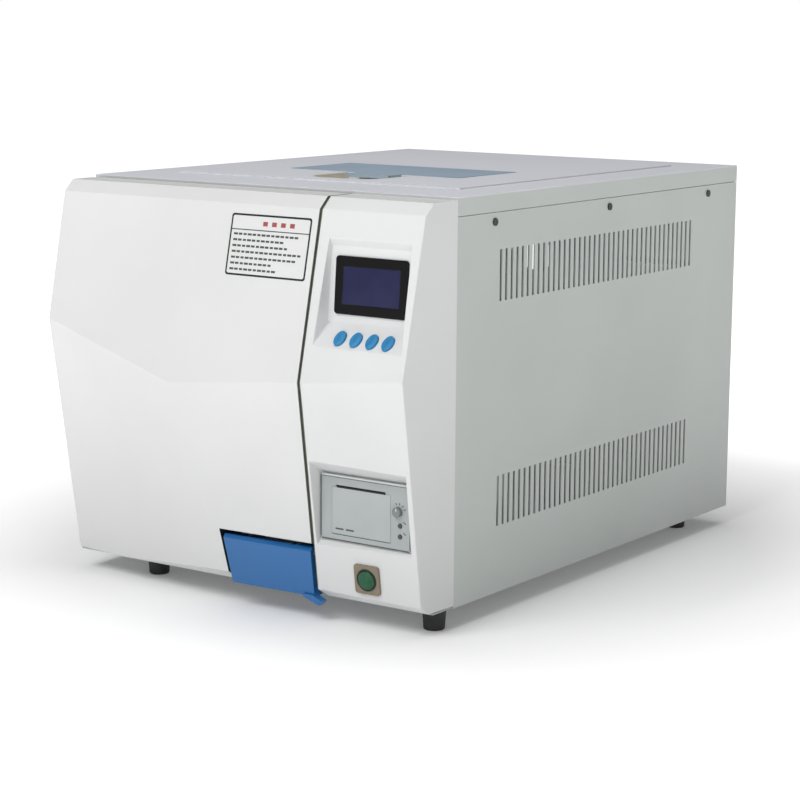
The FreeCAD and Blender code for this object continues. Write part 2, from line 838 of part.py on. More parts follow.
def make_door_cover():
    planes = FRONT_FACES[:-1] + [DOOR_SIDE]
    shell, outer = open_shell(planes, -door_gap, round_hinge_edge)
    shell = shell.fuse(grip_hollow(shell_wall).common(outer)).cut(grip_hollow(0.0))
    cover = solid("cover_shell", shell.removeSplitter())
    lugs = []
    for i, x in enumerate((lug_left, lug_right)):
        lugs.append(box(f"lug_arm_{i}", x, -handle_pivot_back, handle_pivot_level - lug_radius, lug_width,
                        handle_pivot_back - grip_rear, 2 * lug_radius))
        lugs.append(rod(f"lug_eye_{i}", x, -handle_pivot_back, handle_pivot_level, lug_radius, lug_width,
                        "X"))
    pin_bore = rod("lug_bore", 0, -handle_pivot_back, handle_pivot_level, handle_pin_radius, 105, "X")
    windows = []
    for i, level in enumerate((hinge_low, hinge_high)):
        windows.append(box(f"knuckle_window_{i}", -half_width - 5, -hinge_setback - 9,
                           level - knuckle_side - 2, hinge_inset + 9.5, 40,
                           knuckle_height + 2 * knuckle_side + 4))
    for i, level in enumerate((latch_low, latch_high)):
        windows.append(box(f"latch_window_{i}", door_edge - shell_wall - 1,
                           -latch_back - latch_gauge - fit_gap, level - fit_gap, shell_wall + 2,
                           latch_gauge + 2 * fit_gap, latch_height + 2 * fit_gap))
    keep(cut("cover", fuse("cover_with_lugs", [cover] + lugs), pin_bore, *windows), "door_cover")


closure_rear = -flange_proud - 1
closure_front = closure_rear - closure_gauge
boss_depth = 3.0
beam_rear = closure_front - boss_depth


def make_door_inside():
    liner = box("liner_plate", hinge_x + 6, -door_gap - 2.5, form_floor + shell_wall + fit_gap,
                door_edge - shell_wall - fit_gap - hinge_x - 6, 2.5,
                form_height - form_floor - 2 * shell_wall - 2 * fit_gap)
    liner_hole = rod("liner_hole", -vessel_offset, -20, vessel_level, flange_radius + 1, 40, "Y")
    keep(cut("liner", liner, liner_hole), "door_liner")

    groove = 2.5
    disc_points = [(0, -boss_depth), (20, -boss_depth), (20, 0), (closure_radius, 0),
                   (closure_radius, closure_gauge), (seal_outer, closure_gauge),
                   (seal_outer, closure_gauge - groove), (seal_inner, closure_gauge - groove),
                   (seal_inner, closure_gauge), (0, closure_gauge)]
    keep(turned("closure", -vessel_offset, closure_front, vessel_level, disc_points), "closure_plate")
    seal_front = closure_rear - groove
    keep(ring("seal", -vessel_offset, seal_front, vessel_level, seal_outer, seal_inner,
              -flange_proud - fit_gap - seal_front, "Y"), "door_seal")


def make_hinges():
    """Cabinet bracket with two knuckles, the door beam with a knuckle either side of each, two pins."""
    base = box("bracket_base", hinge_x - 10, sheet_gauge, hinge_low - 10, 20, 3,
               hinge_high - hinge_low + knuckle_height + 20)
    arms = []
    eyes = []
    bores = []
    beam_windows = []
    beam_eyes = []
    pins = []
    for i, level in enumerate((hinge_low, hinge_high)):
        arms.append(box(f"bracket_arm_{i}", hinge_x - 2, -hinge_setback, level, 4,
                        hinge_setback + sheet_gauge, knuckle_height))
        eyes.append(rod(f"bracket_eye_{i}", hinge_x, -hinge_setback, level, knuckle_radius,
                        knuckle_height))
        bores.append(rod(f"bracket_bore_{i}", hinge_x, -hinge_setback, level - 1,
                         hinge_pin_radius + pivot_gap, knuckle_height + 2))
        beam_windows.append(box(f"beam_window_{i}", hinge_x - 1, -hinge_setback - 20, level - fit_gap,
                                knuckle_radius + 2, 40, knuckle_height + 2 * fit_gap))
        for j, low in enumerate((level - fit_gap - knuckle_side, level + knuckle_height + fit_gap)):
            beam_eyes.append(rod(f"beam_eye_{i}_{j}", hinge_x, -hinge_setback, low, knuckle_radius,
                                 knuckle_side))
        pins.append(rod(f"pin_{i}", hinge_x, -hinge_setback, level - knuckle_side - 2, hinge_pin_radius,
                        knuckle_height + 2 * knuckle_side + 4))
    keep(cut("bracket", fuse("bracket_blank", [base] + arms + eyes), *bores), "hinge_bracket")

    beam = box("beam_plate", hinge_x, beam_rear - beam_gauge, hinge_low - knuckle_side - fit_gap,
               86 - hinge_x, beam_gauge, hinge_high - hinge_low + knuckle_height + 2 * knuckle_side)
    pin_holes = [rod(f"beam_bore_{i}", hinge_x, -hinge_setback, level - 40, hinge_pin_radius, 100)
                 for i, level in enumerate((hinge_low, hinge_high))]
    keep(cut("beam", fuse("beam_blank", [cut("beam_sheet", beam, *beam_windows)] + beam_eyes),
             *pin_holes), "door_beam")
    keep(group("pins", pins), "hinge_pins")


def make_handle():
    """A moulded pull, hollow behind, that turns on a pin through its cheeks."""
    skin_out = 0.5
    points = handle_outline(0.0, handle_top, handle_low, handle_right.value)
    shape = upright_prism(points, -FAR, FAR)
    shape = slice_off(shape, MAIN_FACE[0], MAIN_FACE[1], skin_out)
    shape = shape.common(slice_off(Part.makeBox(FAR, FAR, FAR, Vector(-FAR / 2, -FAR / 2, -FAR / 2)),
                                   MAIN_FACE[0] - Vector(0, 0, 0), MAIN_FACE[1] * -1,
                                   -skin_out - handle_gauge.value))
    crest = vec(0, main_face_y(0, handle_top), handle_top)
    lean = Vector(MAIN_FACE[1]).normalize() + Vector(0, 0, 1)
    shape = slice_off(shape, crest, lean, skin_out + handle_chamfer.value / math.sqrt(2))
    inner = handle_outline(-handle_skin.value, handle_top - handle_skin, handle_low + handle_skin,
                           (handle_right - handle_skin).value)
    hollow = slice_off(upright_prism(inner, -FAR, FAR), MAIN_FACE[0], MAIN_FACE[1],
                       skin_out + handle_skin.value)
    shape = shape.cut(hollow)
    for x in (lug_left, lug_right):
        slot = Part.makeBox(lug_width.value + 2, FAR, 20, vec(x - 1, -handle_pivot_back - 5, handle_pivot_level - 5))
        shape = shape.cut(slot)
    blank = solid("handle_blank", shape)
    hook = [vec(handle_right - 13, 0, handle_low + 2), vec(handle_right, 0, handle_low + 2),
            vec(tip_reach, 0, 0.5), vec(tip_reach - 3.5, 0, -tip_drop),
            vec(handle_right - 13, 0, handle_low - 1)]
    tip = solid("handle_tip", upright_prism(hook, -60, -51))
    bore = rod("handle_bore", -20, -handle_pivot_back, handle_pivot_level,
               handle_pin_radius + pivot_gap, 140, "X")
    keep(cut("handle", fuse("handle_moulding", [blank, tip]), bore), "door_handle")
    keep(rod("handle_rod", -6.5, -handle_pivot_back, handle_pivot_level, handle_pin_radius,
             handle_right + 6, "X"), "handle_pin")


def make_latch():
    """A bar in the door with two noses that stop short of the strikes, and the two strikes."""
    pieces = [box("latch_strip", latch_left, -latch_back - latch_gauge, 40, latch_width, latch_gauge,
                  latch_high + latch_height - 30)]
    strikes = []
    for i, level in enumerate((latch_low, latch_high)):
        pieces.append(box(f"latch_tongue_{i}", latch_left, -latch_back - latch_gauge, level,
                          door_edge + latch_nose - latch_left, latch_gauge, latch_height))
        strike_x = column_edge + shell_wall + seam_gap
        plate = box(f"strike_plate_{i}", strike_x, -latch_back - latch_gauge - 8, level - 6, 3,
                    latch_back + latch_gauge + 8, latch_height + 12)
        foot = box(f"strike_foot_{i}", strike_x, -2, level - 6, 12, 2, latch_height + 12)
        eye = box(f"strike_eye_{i}", strike_x - 1, -latch_back - latch_gauge - 2, level - 2, 5,
                  latch_gauge + 4, latch_height + 4)
        strikes.append(cut(f"strike_{i}", fuse(f"strike_blank_{i}", [plate, foot]), eye))
    keep(fuse("latch", pieces), "latch_bar")
    keep(group("strikes_pair", strikes), "strikes")


# ---------------------------------------------------------------- control column

def wall_plane(first, second, outward):
    """A plane along X through two (distance, level) points, with its normal on the outward side."""
    start = vec(0, first[0], first[1])
    run = vec(0, second[0], second[1]) - start
    normal = Vector(0, run.z, -run.y)
    return start, normal if normal.dot(outward) > 0 else normal * -1


floor_foot = face_y(display_step) + display_depth


def floor_y(level):
    """Place of the display recess's floor at a height."""
    return floor_foot + display_lean * (level - display_step)


display_planes = [
    wall_plane((face_y(display_high), display_high), (floor_y(display_brow), display_brow),
               Vector(0, 0, 1)),
    wall_plane((floor_y(display_brow), display_brow), (floor_y(display_step), display_step),
               Vector(0, 1, 0)),
    wall_plane((floor_y(display_step), display_step), (face_y(display_low), display_low),
               Vector(0, 0, -1)),
    (vec(display_left, face_y(display_low), 0), Vector(-1, 0.15, 0)),
    (vec(display_right, face_y(display_low), 0), Vector(1, 0.15, 0)),
]
RAMP_POINT, RAMP_NORMAL = display_planes[2]
plate_mid = plate_left + plate_width / 2
printer_top_y = main_face_y(plate_mid, printer_high)
printer_low_y = main_face_y(plate_mid, printer_low)
plate_rear = plate_gauge - plate_setback
printer_planes = [
    wall_plane((printer_top_y, printer_high), (plate_rear, plate_low + plate_height + 1),
               Vector(0, 0, 1)),
    (vec(0, plate_rear, 0), Vector(0, 1, 0)),
    wall_plane((printer_low_y, printer_low), (plate_rear, plate_low - 0.5), Vector(0, 0, -1)),
    (vec(printer_left, printer_low_y, 0), Vector(-1, 0.05, 0)),
    (vec(printer_right, printer_low_y, 0), Vector(1, 0.05, 0)),
]
DISPLAY_TURN = Rotation(Vector(1, 0, 0), -math.degrees(math.atan(display_lean.value)))
RAMP_TURN = Rotation(Vector(1, 0, 0), math.degrees(math.atan2(RAMP_NORMAL.y, -RAMP_NORMAL.z)))
FACE_X = Vector(1, main_face_y(1, 0) - main_face_y(0, 0), 0).normalize()
FACE_IN = Vector(MAIN_FACE[1]).normalize() * -1
SWITCH_TURN = Rotation(FACE_X, FACE_IN, FACE_X.cross(FACE_IN), "XYZ")
key_places = [key_centre + key_pitch * (i - 1.5) for i in range(4)]
ramp_run = display_depth + face_slope * (display_step - display_low)
key_y = floor_foot - (display_step - key_level) * ramp_run / (display_step - display_low)
switch_x = switch_left + switch_width / 2
switch_level = switch_low + switch_height / 2
switch_y = main_face_y(switch_x, switch_level)


def oval(name, half_x, half_y, low, high):
    """An upright oval prism centred on the origin, its longer radius along Y."""
    ellipse = doc.addObject("Part::Ellipse", name + "_outline")
    bind(ellipse, "MajorRadius", half_y)
    bind(ellipse, "MinorRadius", half_x)
    ellipse.Placement = Placement(Vector(), Rotation(Vector(0, 0, 1), 90))
    bind(ellipse, "Placement.Base.z", low)
    item = doc.addObject("Part::Extrusion", name)
    item.Base = ellipse
    item.DirMode = "Custom"
    item.Dir = Vector(0, 0, 1)
    bind(item, "LengthFwd", as_size(high) - low)
    item.Solid = True
    return item


def make_column():
    planes = [p for p in FRONT_FACES if p is not LEFT_SIDE] + [COLUMN_SIDE]
    shell, outer = open_shell(planes, 0)
    wall = shell_wall.value
    shell = shell.fuse([facet_solid(display_planes, -wall).common(outer),
                        facet_solid(printer_planes, -wall).common(outer)])
    shell = shell.cut([facet_solid(display_planes), facet_solid(printer_planes)])
    blank = solid("column_shell", shell.removeSplitter())
    screen_hole = put(box("column_screen_hole", -screen_width / 2, -5, -screen_height / 2, screen_width,
                          30, screen_height), 0, 0, 0)
    bind_place(screen_hole, -screen_width / 2, -5, -screen_height / 2)
    screen_cut = group("column_screen_cut", [screen_hole])
    put(screen_cut, display_centre, floor_y(display_level), display_level, DISPLAY_TURN)
    keys = []
    for i, x in enumerate(key_places):
        hole = oval(f"column_key_hole_{i}", key_half_width + fit_gap, key_half_height + fit_gap, -9, 9)
        keys.append(put(hole, x, key_y, key_level, RAMP_TURN))
    printer_hole = box("column_printer_hole", flap_left - 8, plate_rear - 1, flap_low - 4,
                       plate_left + plate_width - flap_left, 30, plate_height - 6)
    switch_hole = rod("column_switch_hole", 0, -10, 0, lamp_radius + 2.5, 40, "Y")
    switch_cut = group("column_switch_cut", [switch_hole])
    put(switch_cut, switch_x, switch_y, switch_level, SWITCH_TURN)
    latch_holes = [box(f"column_latch_hole_{i}", column_edge - 1, -latch_back - latch_gauge - 2,
                       level - 2, shell_wall + 2, latch_gauge + 4, latch_height + 4)
                   for i, level in enumerate((latch_low, latch_high))]
    keep(cut("column", blank, screen_cut, printer_hole, switch_cut, *(keys + latch_holes)),
         "control_column")


def make_display():
    bezel = cut("bezel",
                box("bezel_plate", -bezel_width / 2, -bezel_gauge, -bezel_height / 2, bezel_width,
                    bezel_gauge, bezel_height),
                box("bezel_window", -screen_width / 2, -bezel_gauge - 1, -screen_height / 2,
                    screen_width, bezel_gauge + 2, screen_height))
    screen = group("screen", [
        box("screen_glass", -screen_width / 2, 0.6 - bezel_gauge, -screen_height / 2, screen_width,
            bezel_gauge + 2.4, screen_height)])
    for item, label in ((bezel, "display_bezel"), (screen, "display_screen")):
        put(item, display_centre, floor_y(display_level), display_level, DISPLAY_TURN)
        keep(item, label)


def make_keys():
    for i, x in enumerate(key_places):
        cap = oval(f"key_cap_{i}", key_half_width, key_half_height, key_proud - key_length, key_proud)
        rim = oval(f"key_rim_{i}", key_half_width + 1.2, key_half_height + 1.2, key_proud - key_length,
                   key_proud - key_length + 1.5)
        key = fuse(f"key_{i}", [cap, rim])
        put(key, x, key_y, key_level, RAMP_TURN)
        keep(key, f"menu_key_{i + 1}")


flap_axis_y = plate_gauge / 2 - plate_setback
flap_axis_z = flap_low + fit_gap + plate_gauge / 2
dial_front = 4.5


def make_printer():
    plate = box("plate_blank", plate_left, -plate_setback, plate_low, plate_width, plate_gauge,
                plate_height)
    opening = box("plate_opening", flap_left, -plate_setback - 1, flap_low, flap_width, plate_gauge + 2,
                  flap_height)
    slot = box("plate_paper_slot", flap_left + 5, -plate_setback - 1, flap_low, flap_width - 11.5,
               plate_gauge + 2, flap_height + 1.8)
    bores = [rod("plate_flap_bore", flap_left - 1.6, flap_axis_y, flap_axis_z, 0.9 + pivot_gap,
                 flap_width + 3.2, "X"),
             rod("plate_dial_bore", dial_place, -plate_setback - 1, dial_level, 1.5 + pivot_gap, 6, "Y")]
    for i, drop in enumerate((14, 25)):
        bores.append(rod(f"plate_key_bore_{i}", small_key_place, -plate_setback - 1, dial_level - drop,
                         small_key_radius + fit_gap, 6, "Y"))
        key = fuse(f"small_key_{i}", [
            rod(f"small_key_cap_{i}", small_key_place, -plate_setback - 1.4, dial_level - drop,
                small_key_radius, plate_gauge + 2.4, "Y"),
            rod(f"small_key_rim_{i}", small_key_place, plate_rear + fit_gap, dial_level - drop,
                small_key_radius + 1, 0.8, "Y")])
        keep(key, f"printer_key_{i + 1}")
    keep(cut("plate", plate, opening, slot, *bores), "printer_plate")

    flap_x = flap_left + fit_gap
    flap_wide = flap_width - 2 * fit_gap
    flap = fuse("flap", [
        box("flap_leaf", flap_x, -plate_setback, flap_axis_z, flap_wide, plate_gauge,
            flap_height - plate_gauge / 2 - 2 * fit_gap),
        rod("flap_roll", flap_x, flap_axis_y, flap_axis_z, plate_gauge / 2, flap_wide, "X"),
        rod("flap_trunnion", flap_left - 1.3, flap_axis_y, flap_axis_z, 0.9, flap_width + 2.6, "X")])
    keep(flap, "printer_flap")

    body = cut("printer_case",
               box("printer_case_blank", flap_left - 5, plate_rear + 1.2, flap_low - 2, flap_width + 10,
                   44, flap_height + 4),
               box("printer_bay", flap_left + 3, plate_rear, flap_low + 1.5, flap_width - 6, 42,
                   flap_height - 3))
    keep(body, "printer_body")
    bay_mid = flap_low + flap_height / 2
    roll = ring("roll", flap_left + (flap_width - paper_width) / 2, plate_rear + 22, bay_mid,
                paper_radius, 6, paper_width, "X")
    keep(roll, "paper_roll")

    dial = fuse("dial", [
        rod("dial_cap", dial_place, -plate_setback - dial_front, dial_level, dial_radius,
            dial_front - fit_gap, "Y"),
        rod("dial_shaft", dial_place, -plate_setback - fit_gap - 1, dial_level, 1.5, 7, "Y")])
    keep(dial, "printer_dial")


def make_switch():
    plate = cut("switch",
                fuse("switch_blank", [
                    box("switch_face", -switch_width / 2, -switch_gauge, -switch_height / 2,
                        switch_width, switch_gauge, switch_height),
                    rod("switch_barrel", 0, -switch_gauge, 0, lamp_radius + 2.2, 24, "Y")]),
                rod("switch_bore", 0, -switch_gauge - 1, 0, lamp_radius + fit_gap, 19, "Y"))
    put(plate, switch_x, switch_y, switch_level, SWITCH_TURN)
    keep(plate, "switch_plate")
    button = group("button", [rod("button_cap", 0, -switch_gauge - 1.5, 0, lamp_radius, 14, "Y")])
    put(button, switch_x, switch_y, switch_level, SWITCH_TURN)
    keep(button, "power_button")


# ---------------------------------------------------------------- water tank

lid_level = roof_level + lid_proud - lid_gauge
lid_axis_y = lid_front + lid_depth - lid_gauge / 2
lid_axis_z = lid_level + lid_gauge / 2


def make_lid():
    """A flat lid with a finger tab at the front, its rear edge rounded about two end trunnions."""
    lid = fuse("lid", [
        box("lid_plate", -lid_left, lid_front, lid_level, lid_width, lid_depth - lid_gauge / 2,
            lid_gauge),
        box("lid_tab", -tab_left, lid_front - tab_reach, lid_level, tab_width, tab_reach, lid_gauge),
        rod("lid_roll", -lid_left, lid_axis_y, lid_axis_z, lid_gauge / 2, lid_width, "X"),
        rod("lid_trunnion", -lid_left - 2.5, lid_axis_y, lid_axis_z, trunnion_radius, lid_width + 5,
            "X")])
    keep(lid, "tank_lid")


def make_lid_frame():
    outer = box("frame_outer", -frame_left, frame_front, roof_level - frame_depth, frame_width,
                frame_length, frame_depth)
    seat = box("frame_seat", -lid_left - lid_gap, lid_front - lid_gap, lid_level - fit_gap,
               lid_width + 2 * lid_gap, lid_depth + 2 * lid_gap, 20)
    mouth = box("frame_mouth", -lid_left + frame_ledge, lid_front + frame_ledge,
                roof_level - frame_depth - 1, lid_width - 2 * frame_ledge, lid_depth - 2 * frame_ledge,
                30)
    notch = box("frame_notch", -tab_left - lid_gap, frame_front - 1, lid_level - fit_gap,
                tab_width + 2 * lid_gap, frame_wall + 2, 20)
    bore = rod("frame_bore", -frame_left - 1, lid_axis_y, lid_axis_z, trunnion_radius + pivot_gap,
               frame_width + 2, "X")
    keep(cut("frame", outer, seat, mouth, notch, bore), "lid_frame")


def make_finger_cup():
    floor_level = lid_level - fit_gap - cup_depth
    cup = prism("cup_blank", "XY_Plane", cup_outline(0), floor_level - 2, roof_level - floor_level + 2)
    hollow = prism("cup_hollow", "XY_Plane", cup_outline(-2), floor_level, FAR)
    keep(cut("cup", cup, hollow), "finger_cup")


def make_tank():
    top = roof_level - frame_depth
    tank = cut("tank",
               box("tank_outer", -tank_left, tank_front, tank_base, tank_width, tank_depth,
                   top - tank_base),
               box("tank_inner", tank_wall - tank_left, tank_front + tank_wall, tank_base + tank_wall,
                   tank_width - 2 * tank_wall, tank_depth - 2 * tank_wall,
                   top - tank_base - 2 * tank_wall),
               box("tank_mouth", -lid_left + frame_ledge, lid_front + frame_ledge, top - 10,
                   lid_width - 2 * frame_ledge, lid_depth - 2 * frame_ledge, 20))
    keep(tank, "water_tank")


# ---------------------------------------------------------------- services inside and behind


def make_services():
    keep(fuse("steamer", [
        rod("steamer_drum", bay_x, 150, 14, 38, 128),
        rod("steamer_cap", bay_x, 150, 142, 12, 14),
        rod("steamer_foot", bay_x, 150, sheet_gauge, 28, 14)]), "steam_generator")
    keep(fuse("pump", [
        rod("pump_motor", bay_x, 340, 52, 36, 110, "Y"),
        box("pump_head_front", bay_x - 30, 322, 18, 60, 20, 68),
        box("pump_head_rear", bay_x - 30, 448, 18, 60, 20, 68),
        box("pump_bed", bay_x - 40, 330, sheet_gauge, 80, 130, 18)]), "vacuum_pump")
    coils = [box(f"coil_{i}", bay_x - 20, 232 + 30 * i, 128, 24, 22, 30) for i in range(3)]
    keep(fuse("manifold", [box("manifold_block", bay_x - 32, 226, 110, 50, 94, 20),
                           box("manifold_leg", bay_x - 32, 260, sheet_gauge, 10, 20, 110)] + coils),
         "valve_manifold")
    chips = [box(f"chip_{i}", 216, 60 + 36 * i, 205 + 18 * (i % 3), 12.4, 22, 26) for i in range(4)]
    keep(fuse("board", [box("board_sheet", 228, 40, 180, 1.6, 170, 150)] + chips), "control_board")
    fins = [box(f"fin_{i}", bay_x - 54 + 12 * i, 522, fan_level - 56, 1.5, 44, 112) for i in range(10)]
    tubes = [rod(f"condenser_tube_{i}", bay_x - 58, 534 + 20 * (i % 2), fan_level - 42 + 21 * i, 4, 116,
                 "X") for i in range(5)]
    keep(fuse("condenser_core", fins + tubes), "condenser")
    keep(fuse("valve", [
        rod("valve_body", -vessel_offset, vessel_end + vessel_dish + vessel_wall, vessel_level, 9,
            28, "Y"),
        rod("valve_cap", -vessel_offset, vessel_end + vessel_dish + 30, vessel_level, 13, 18, "Y")]),
        "safety_valve")


def make_fan():
    """Frame, rotor and outside guard of the cooling fan in the rear panel."""
    frame_y = cabinet_depth - sheet_gauge - 25
    half = fan_radius + 5
    frame_blank = box("fan_blank", fan_place - half, frame_y, fan_level - half, half * 2, 25, half * 2)
    duct = rod("fan_duct", fan_place, frame_y - 1, fan_level, fan_radius - 1, 27, "Y")
    struts = [rod("fan_hub_mount", fan_place, frame_y, fan_level, 18, 3, "Y"),
              box("fan_strut_flat", fan_place - fan_radius, frame_y, fan_level - 3, fan_radius * 2, 3, 6),
              box("fan_strut_up", fan_place - 3, frame_y, fan_level - fan_radius, 6, 3, fan_radius * 2)]
    keep(fuse("fan_case", [cut("fan_shell", frame_blank, duct)] + struts), "fan_frame")

    body = new_body("rotor")
    hub_sketch = new_sketch(body, "XY_Plane", "rotor_hub_outline")
    disc(hub_sketch, 0, 0, 20)
    pad(body, hub_sketch, 16, "rotor_hub")
    blade_sketch = new_sketch(body, "XY_Plane", "rotor_blade_outline", 2)
    outline(blade_sketch, [(17, -9), (fan_radius - 4, -14), (fan_radius - 3, -4), (18, 3)])
    blade = pad(body, blade_sketch, 12, "rotor_blade")
    spread = body.newObject("PartDesign::PolarPattern", "rotor_blades")
    spread.Originals = [blade]
    spread.Axis = (blade_sketch, ["N_Axis"])
    spread.Angle = 360
    spread.Occurrences = 7
    body.Tip = spread
    put(body, fan_place, frame_y + 5, fan_level, TURNS["Y"])
    keep(body, "fan_rotor")

    rings = []
    for i, radius in enumerate((18, 34, 50)):
        torus = doc.addObject("Part::Torus", f"guard_ring_{i}")
        torus.Radius1 = radius
        torus.Radius2 = 1.4
        rings.append(put(torus, fan_place, cabinet_depth + 4, fan_level, TURNS["Y"]))
    for i, angle in enumerate((45, 135)):
        spoke = fuse(f"guard_spoke_{i}", [
            rod(f"guard_wire_{i}", 0, 0, -62, 1.4, 124),
            rod(f"guard_foot_low_{i}", 0, -4, -60, 3, 5, "Y"),
            rod(f"guard_foot_high_{i}", 0, -4, 60, 3, 5, "Y")])
        rings.append(put(spoke, fan_place, cabinet_depth + 4, fan_level,
                         Rotation(Vector(0, 1, 0), angle)))
    keep(fuse("guard", rings), "fan_guard")


def make_socket():
    """Mains inlet: a flanged housing with a hooded well and three blades."""
    flange = box("socket_flange", socket_x - 30, cabinet_depth, socket_level - 18, 60, 3, 36)
    case = box("socket_case", socket_x - socket_width / 2, cabinet_depth - 30,
               socket_level - socket_height / 2, socket_width, 30, socket_height)
    well = box("socket_well", socket_x - 18, cabinet_depth - 18, socket_level - 9, 36, 30, 18)
    blades = [box(f"socket_blade_{i}", socket_x + x - 1, cabinet_depth - 22, socket_level + z - 3, 2, 16,
                  6)
              for i, (x, z) in enumerate(((-10, -3), (0, 4), (10, -3)))]
    keep(fuse("socket", [cut("socket_housing", fuse("socket_blank", [flange, case]), well)] + blades),
         "inlet_socket")


def make_spigots():
    """Two plain pipe stubs for drain and exhaust hoses, each with a collar against the rear panel."""
    stubs = []
    for i, x in enumerate(spigot_places):
        blank = fuse(f"spigot_blank_{i}", [
            rod(f"spigot_stub_{i}", x, cabinet_depth - 12, spigot_level, 5, 12 + rear_reach, "Y"),
            rod(f"spigot_collar_{i}", x, cabinet_depth, spigot_level, 11, 3, "Y"),
            rod(f"spigot_neck_{i}", x, cabinet_depth - 12, spigot_level, spigot_radius, 12, "Y")])
        stubs.append(cut(f"spigot_{i}", blank,
                         rod(f"spigot_bore_{i}", x, cabinet_depth - 13, spigot_level, 3,
                             15 + rear_reach, "Y")))
    keep(group("spigots", stubs), "hose_spigots")


# ---------------------------------------------------------------- build, check and write

make_base_pan()
make_side_panel("side_panel_left", -half_width)
make_side_panel("side_panel_right", half_width - sheet_gauge)
make_top_cover()
make_rear_panel()
make_bulkhead()
make_feet()
make_screws()
make_vessel()
make_vessel_parts()
for tray_number, tray_level in enumerate(tray_levels):
    make_tray(tray_number + 1, tray_level)
make_rack()
make_door_cover()
make_door_inside()
make_hinges()
make_handle()
make_latch()
make_column()
make_display()
make_keys()
make_printer()
make_switch()
make_lid()
make_lid_frame()
make_finger_cup()
make_tank()
make_services()
make_fan()
make_socket()
make_spigots()
doc.recompute()

faults = [f"{item.Name}: {item.State}" for item in doc.Objects
          if "Invalid" in item.State or "Error" in item.State]
for item in kept:
    if item.Shape.isNull() or not item.Shape.isValid() or not item.Shape.Solids:
        faults.append(f"{item.Label}: no valid solid")
if faults:
    raise RuntimeError("\n".join(faults))

os.makedirs("parts", exist_ok=True)
for item in kept:
    item.Shape.exportStep(f"parts/{item.Label}.step")
print(f"wrote {len(kept)} sub-parts")
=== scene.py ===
# %% [markdown]
# # A benchtop autoclave
# The machine is a steel box with a faceted plastic front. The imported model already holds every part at
# its real size and place. This lesson gives each surface its finish, and remakes the parts whose edges
# and small details the eye would miss.

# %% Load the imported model
import json
import math

import bmesh
import bpy
from mathutils import Matrix, Vector
from mathutils.bvhtree import BVHTree


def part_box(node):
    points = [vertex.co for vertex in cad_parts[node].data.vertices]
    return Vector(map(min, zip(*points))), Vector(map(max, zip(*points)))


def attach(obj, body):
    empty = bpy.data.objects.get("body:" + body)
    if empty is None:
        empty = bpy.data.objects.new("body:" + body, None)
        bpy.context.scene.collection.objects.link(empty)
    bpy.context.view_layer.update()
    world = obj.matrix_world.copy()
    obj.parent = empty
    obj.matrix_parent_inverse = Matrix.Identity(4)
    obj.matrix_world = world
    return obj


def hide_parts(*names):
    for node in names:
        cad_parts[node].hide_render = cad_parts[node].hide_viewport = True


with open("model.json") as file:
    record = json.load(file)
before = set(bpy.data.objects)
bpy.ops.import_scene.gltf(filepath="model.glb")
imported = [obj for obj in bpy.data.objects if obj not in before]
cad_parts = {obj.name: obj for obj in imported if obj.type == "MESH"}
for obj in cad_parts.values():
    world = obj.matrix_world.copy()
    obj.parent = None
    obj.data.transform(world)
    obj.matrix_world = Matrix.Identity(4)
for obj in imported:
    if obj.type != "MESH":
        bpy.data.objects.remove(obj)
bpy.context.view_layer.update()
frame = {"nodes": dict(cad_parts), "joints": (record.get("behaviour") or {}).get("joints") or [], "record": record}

MM = 0.001
CREASE_Y = -260.485 * MM  # the cabinet's front; the door and the column stand before it
FOOT = 22 * MM  # how high the feet hold the cabinet off the floor
nodes = frame["nodes"]

# %% [markdown]
# ## Small helpers for materials
# A colour picked from a swatch is an sRGB hex value, but the shader works in linear light. One function
# turns one into the other. A second adds a node, sets its sockets or settings, and links it.


# %% Colour and node helpers
def linear(hexa):
    """Turns an sRGB hex colour into linear red, green, blue and alpha."""
    channels = [int(hexa[i:i + 2], 16) / 255 for i in (0, 2, 4)]
    return [c / 12.92 if c <= 0.04045 else ((c + 0.055) / 1.055) ** 2.4 for c in channels] + [1.0]


def add(tree, kind, settings=None, **links):
    """Adds a node; settings name its sockets or its properties, links join earlier outputs to sockets."""
    new = tree.nodes.new(kind)
    for key, value in (settings or {}).items():
        if key in new.inputs:
            new.inputs[key].default_value = value
        else:
            setattr(new, key, value)
    for key, source in links.items():
        tree.links.new(source, new.inputs[key.replace("_", " ")])
    return new


def per(size_mm):
    """The texture scale that gives features of this size."""
    return 1 / (size_mm * MM)


def begin(name):
    """A new material: its node tree, its shader and the object's own coordinates."""
    made = bpy.data.materials.new(name)
    made.use_nodes = True
    tree = made.node_tree
    shader = tree.nodes["Principled BSDF"]
    place = add(tree, "ShaderNodeTexCoord").outputs["Object"]
    return made, tree, shader, place


def tinted(tree, place, colour, other, size_mm, detail=3.0):
    """Drifts between two close colours over patches of the given size."""
    patches = add(tree, "ShaderNodeTexNoise", {"Scale": per(size_mm), "Detail": detail}, Vector=place)
    ramp = add(tree, "ShaderNodeValToRGB", Fac=patches.outputs["Fac"])
    ramp.color_ramp.elements[0].position = 0.35
    ramp.color_ramp.elements[0].color = linear(other)
    ramp.color_ramp.elements[1].position = 0.65
    ramp.color_ramp.elements[1].color = linear(colour)
    return ramp.outputs["Color"]


print("white is", [round(c, 3) for c in linear("f6f6f6")])

# %% [markdown]
# ## Moulded plastics
# The door, the column, the handle and the small controls are injection moulded ABS. The tool's surface
# is spark eroded, so the plastic has a fine even grain and a satin gloss. Real mouldings also drift a
# little in tone from handling. A grain of a few tenths of a millimetre is too fine to show, so it is
# drawn a little coarser.


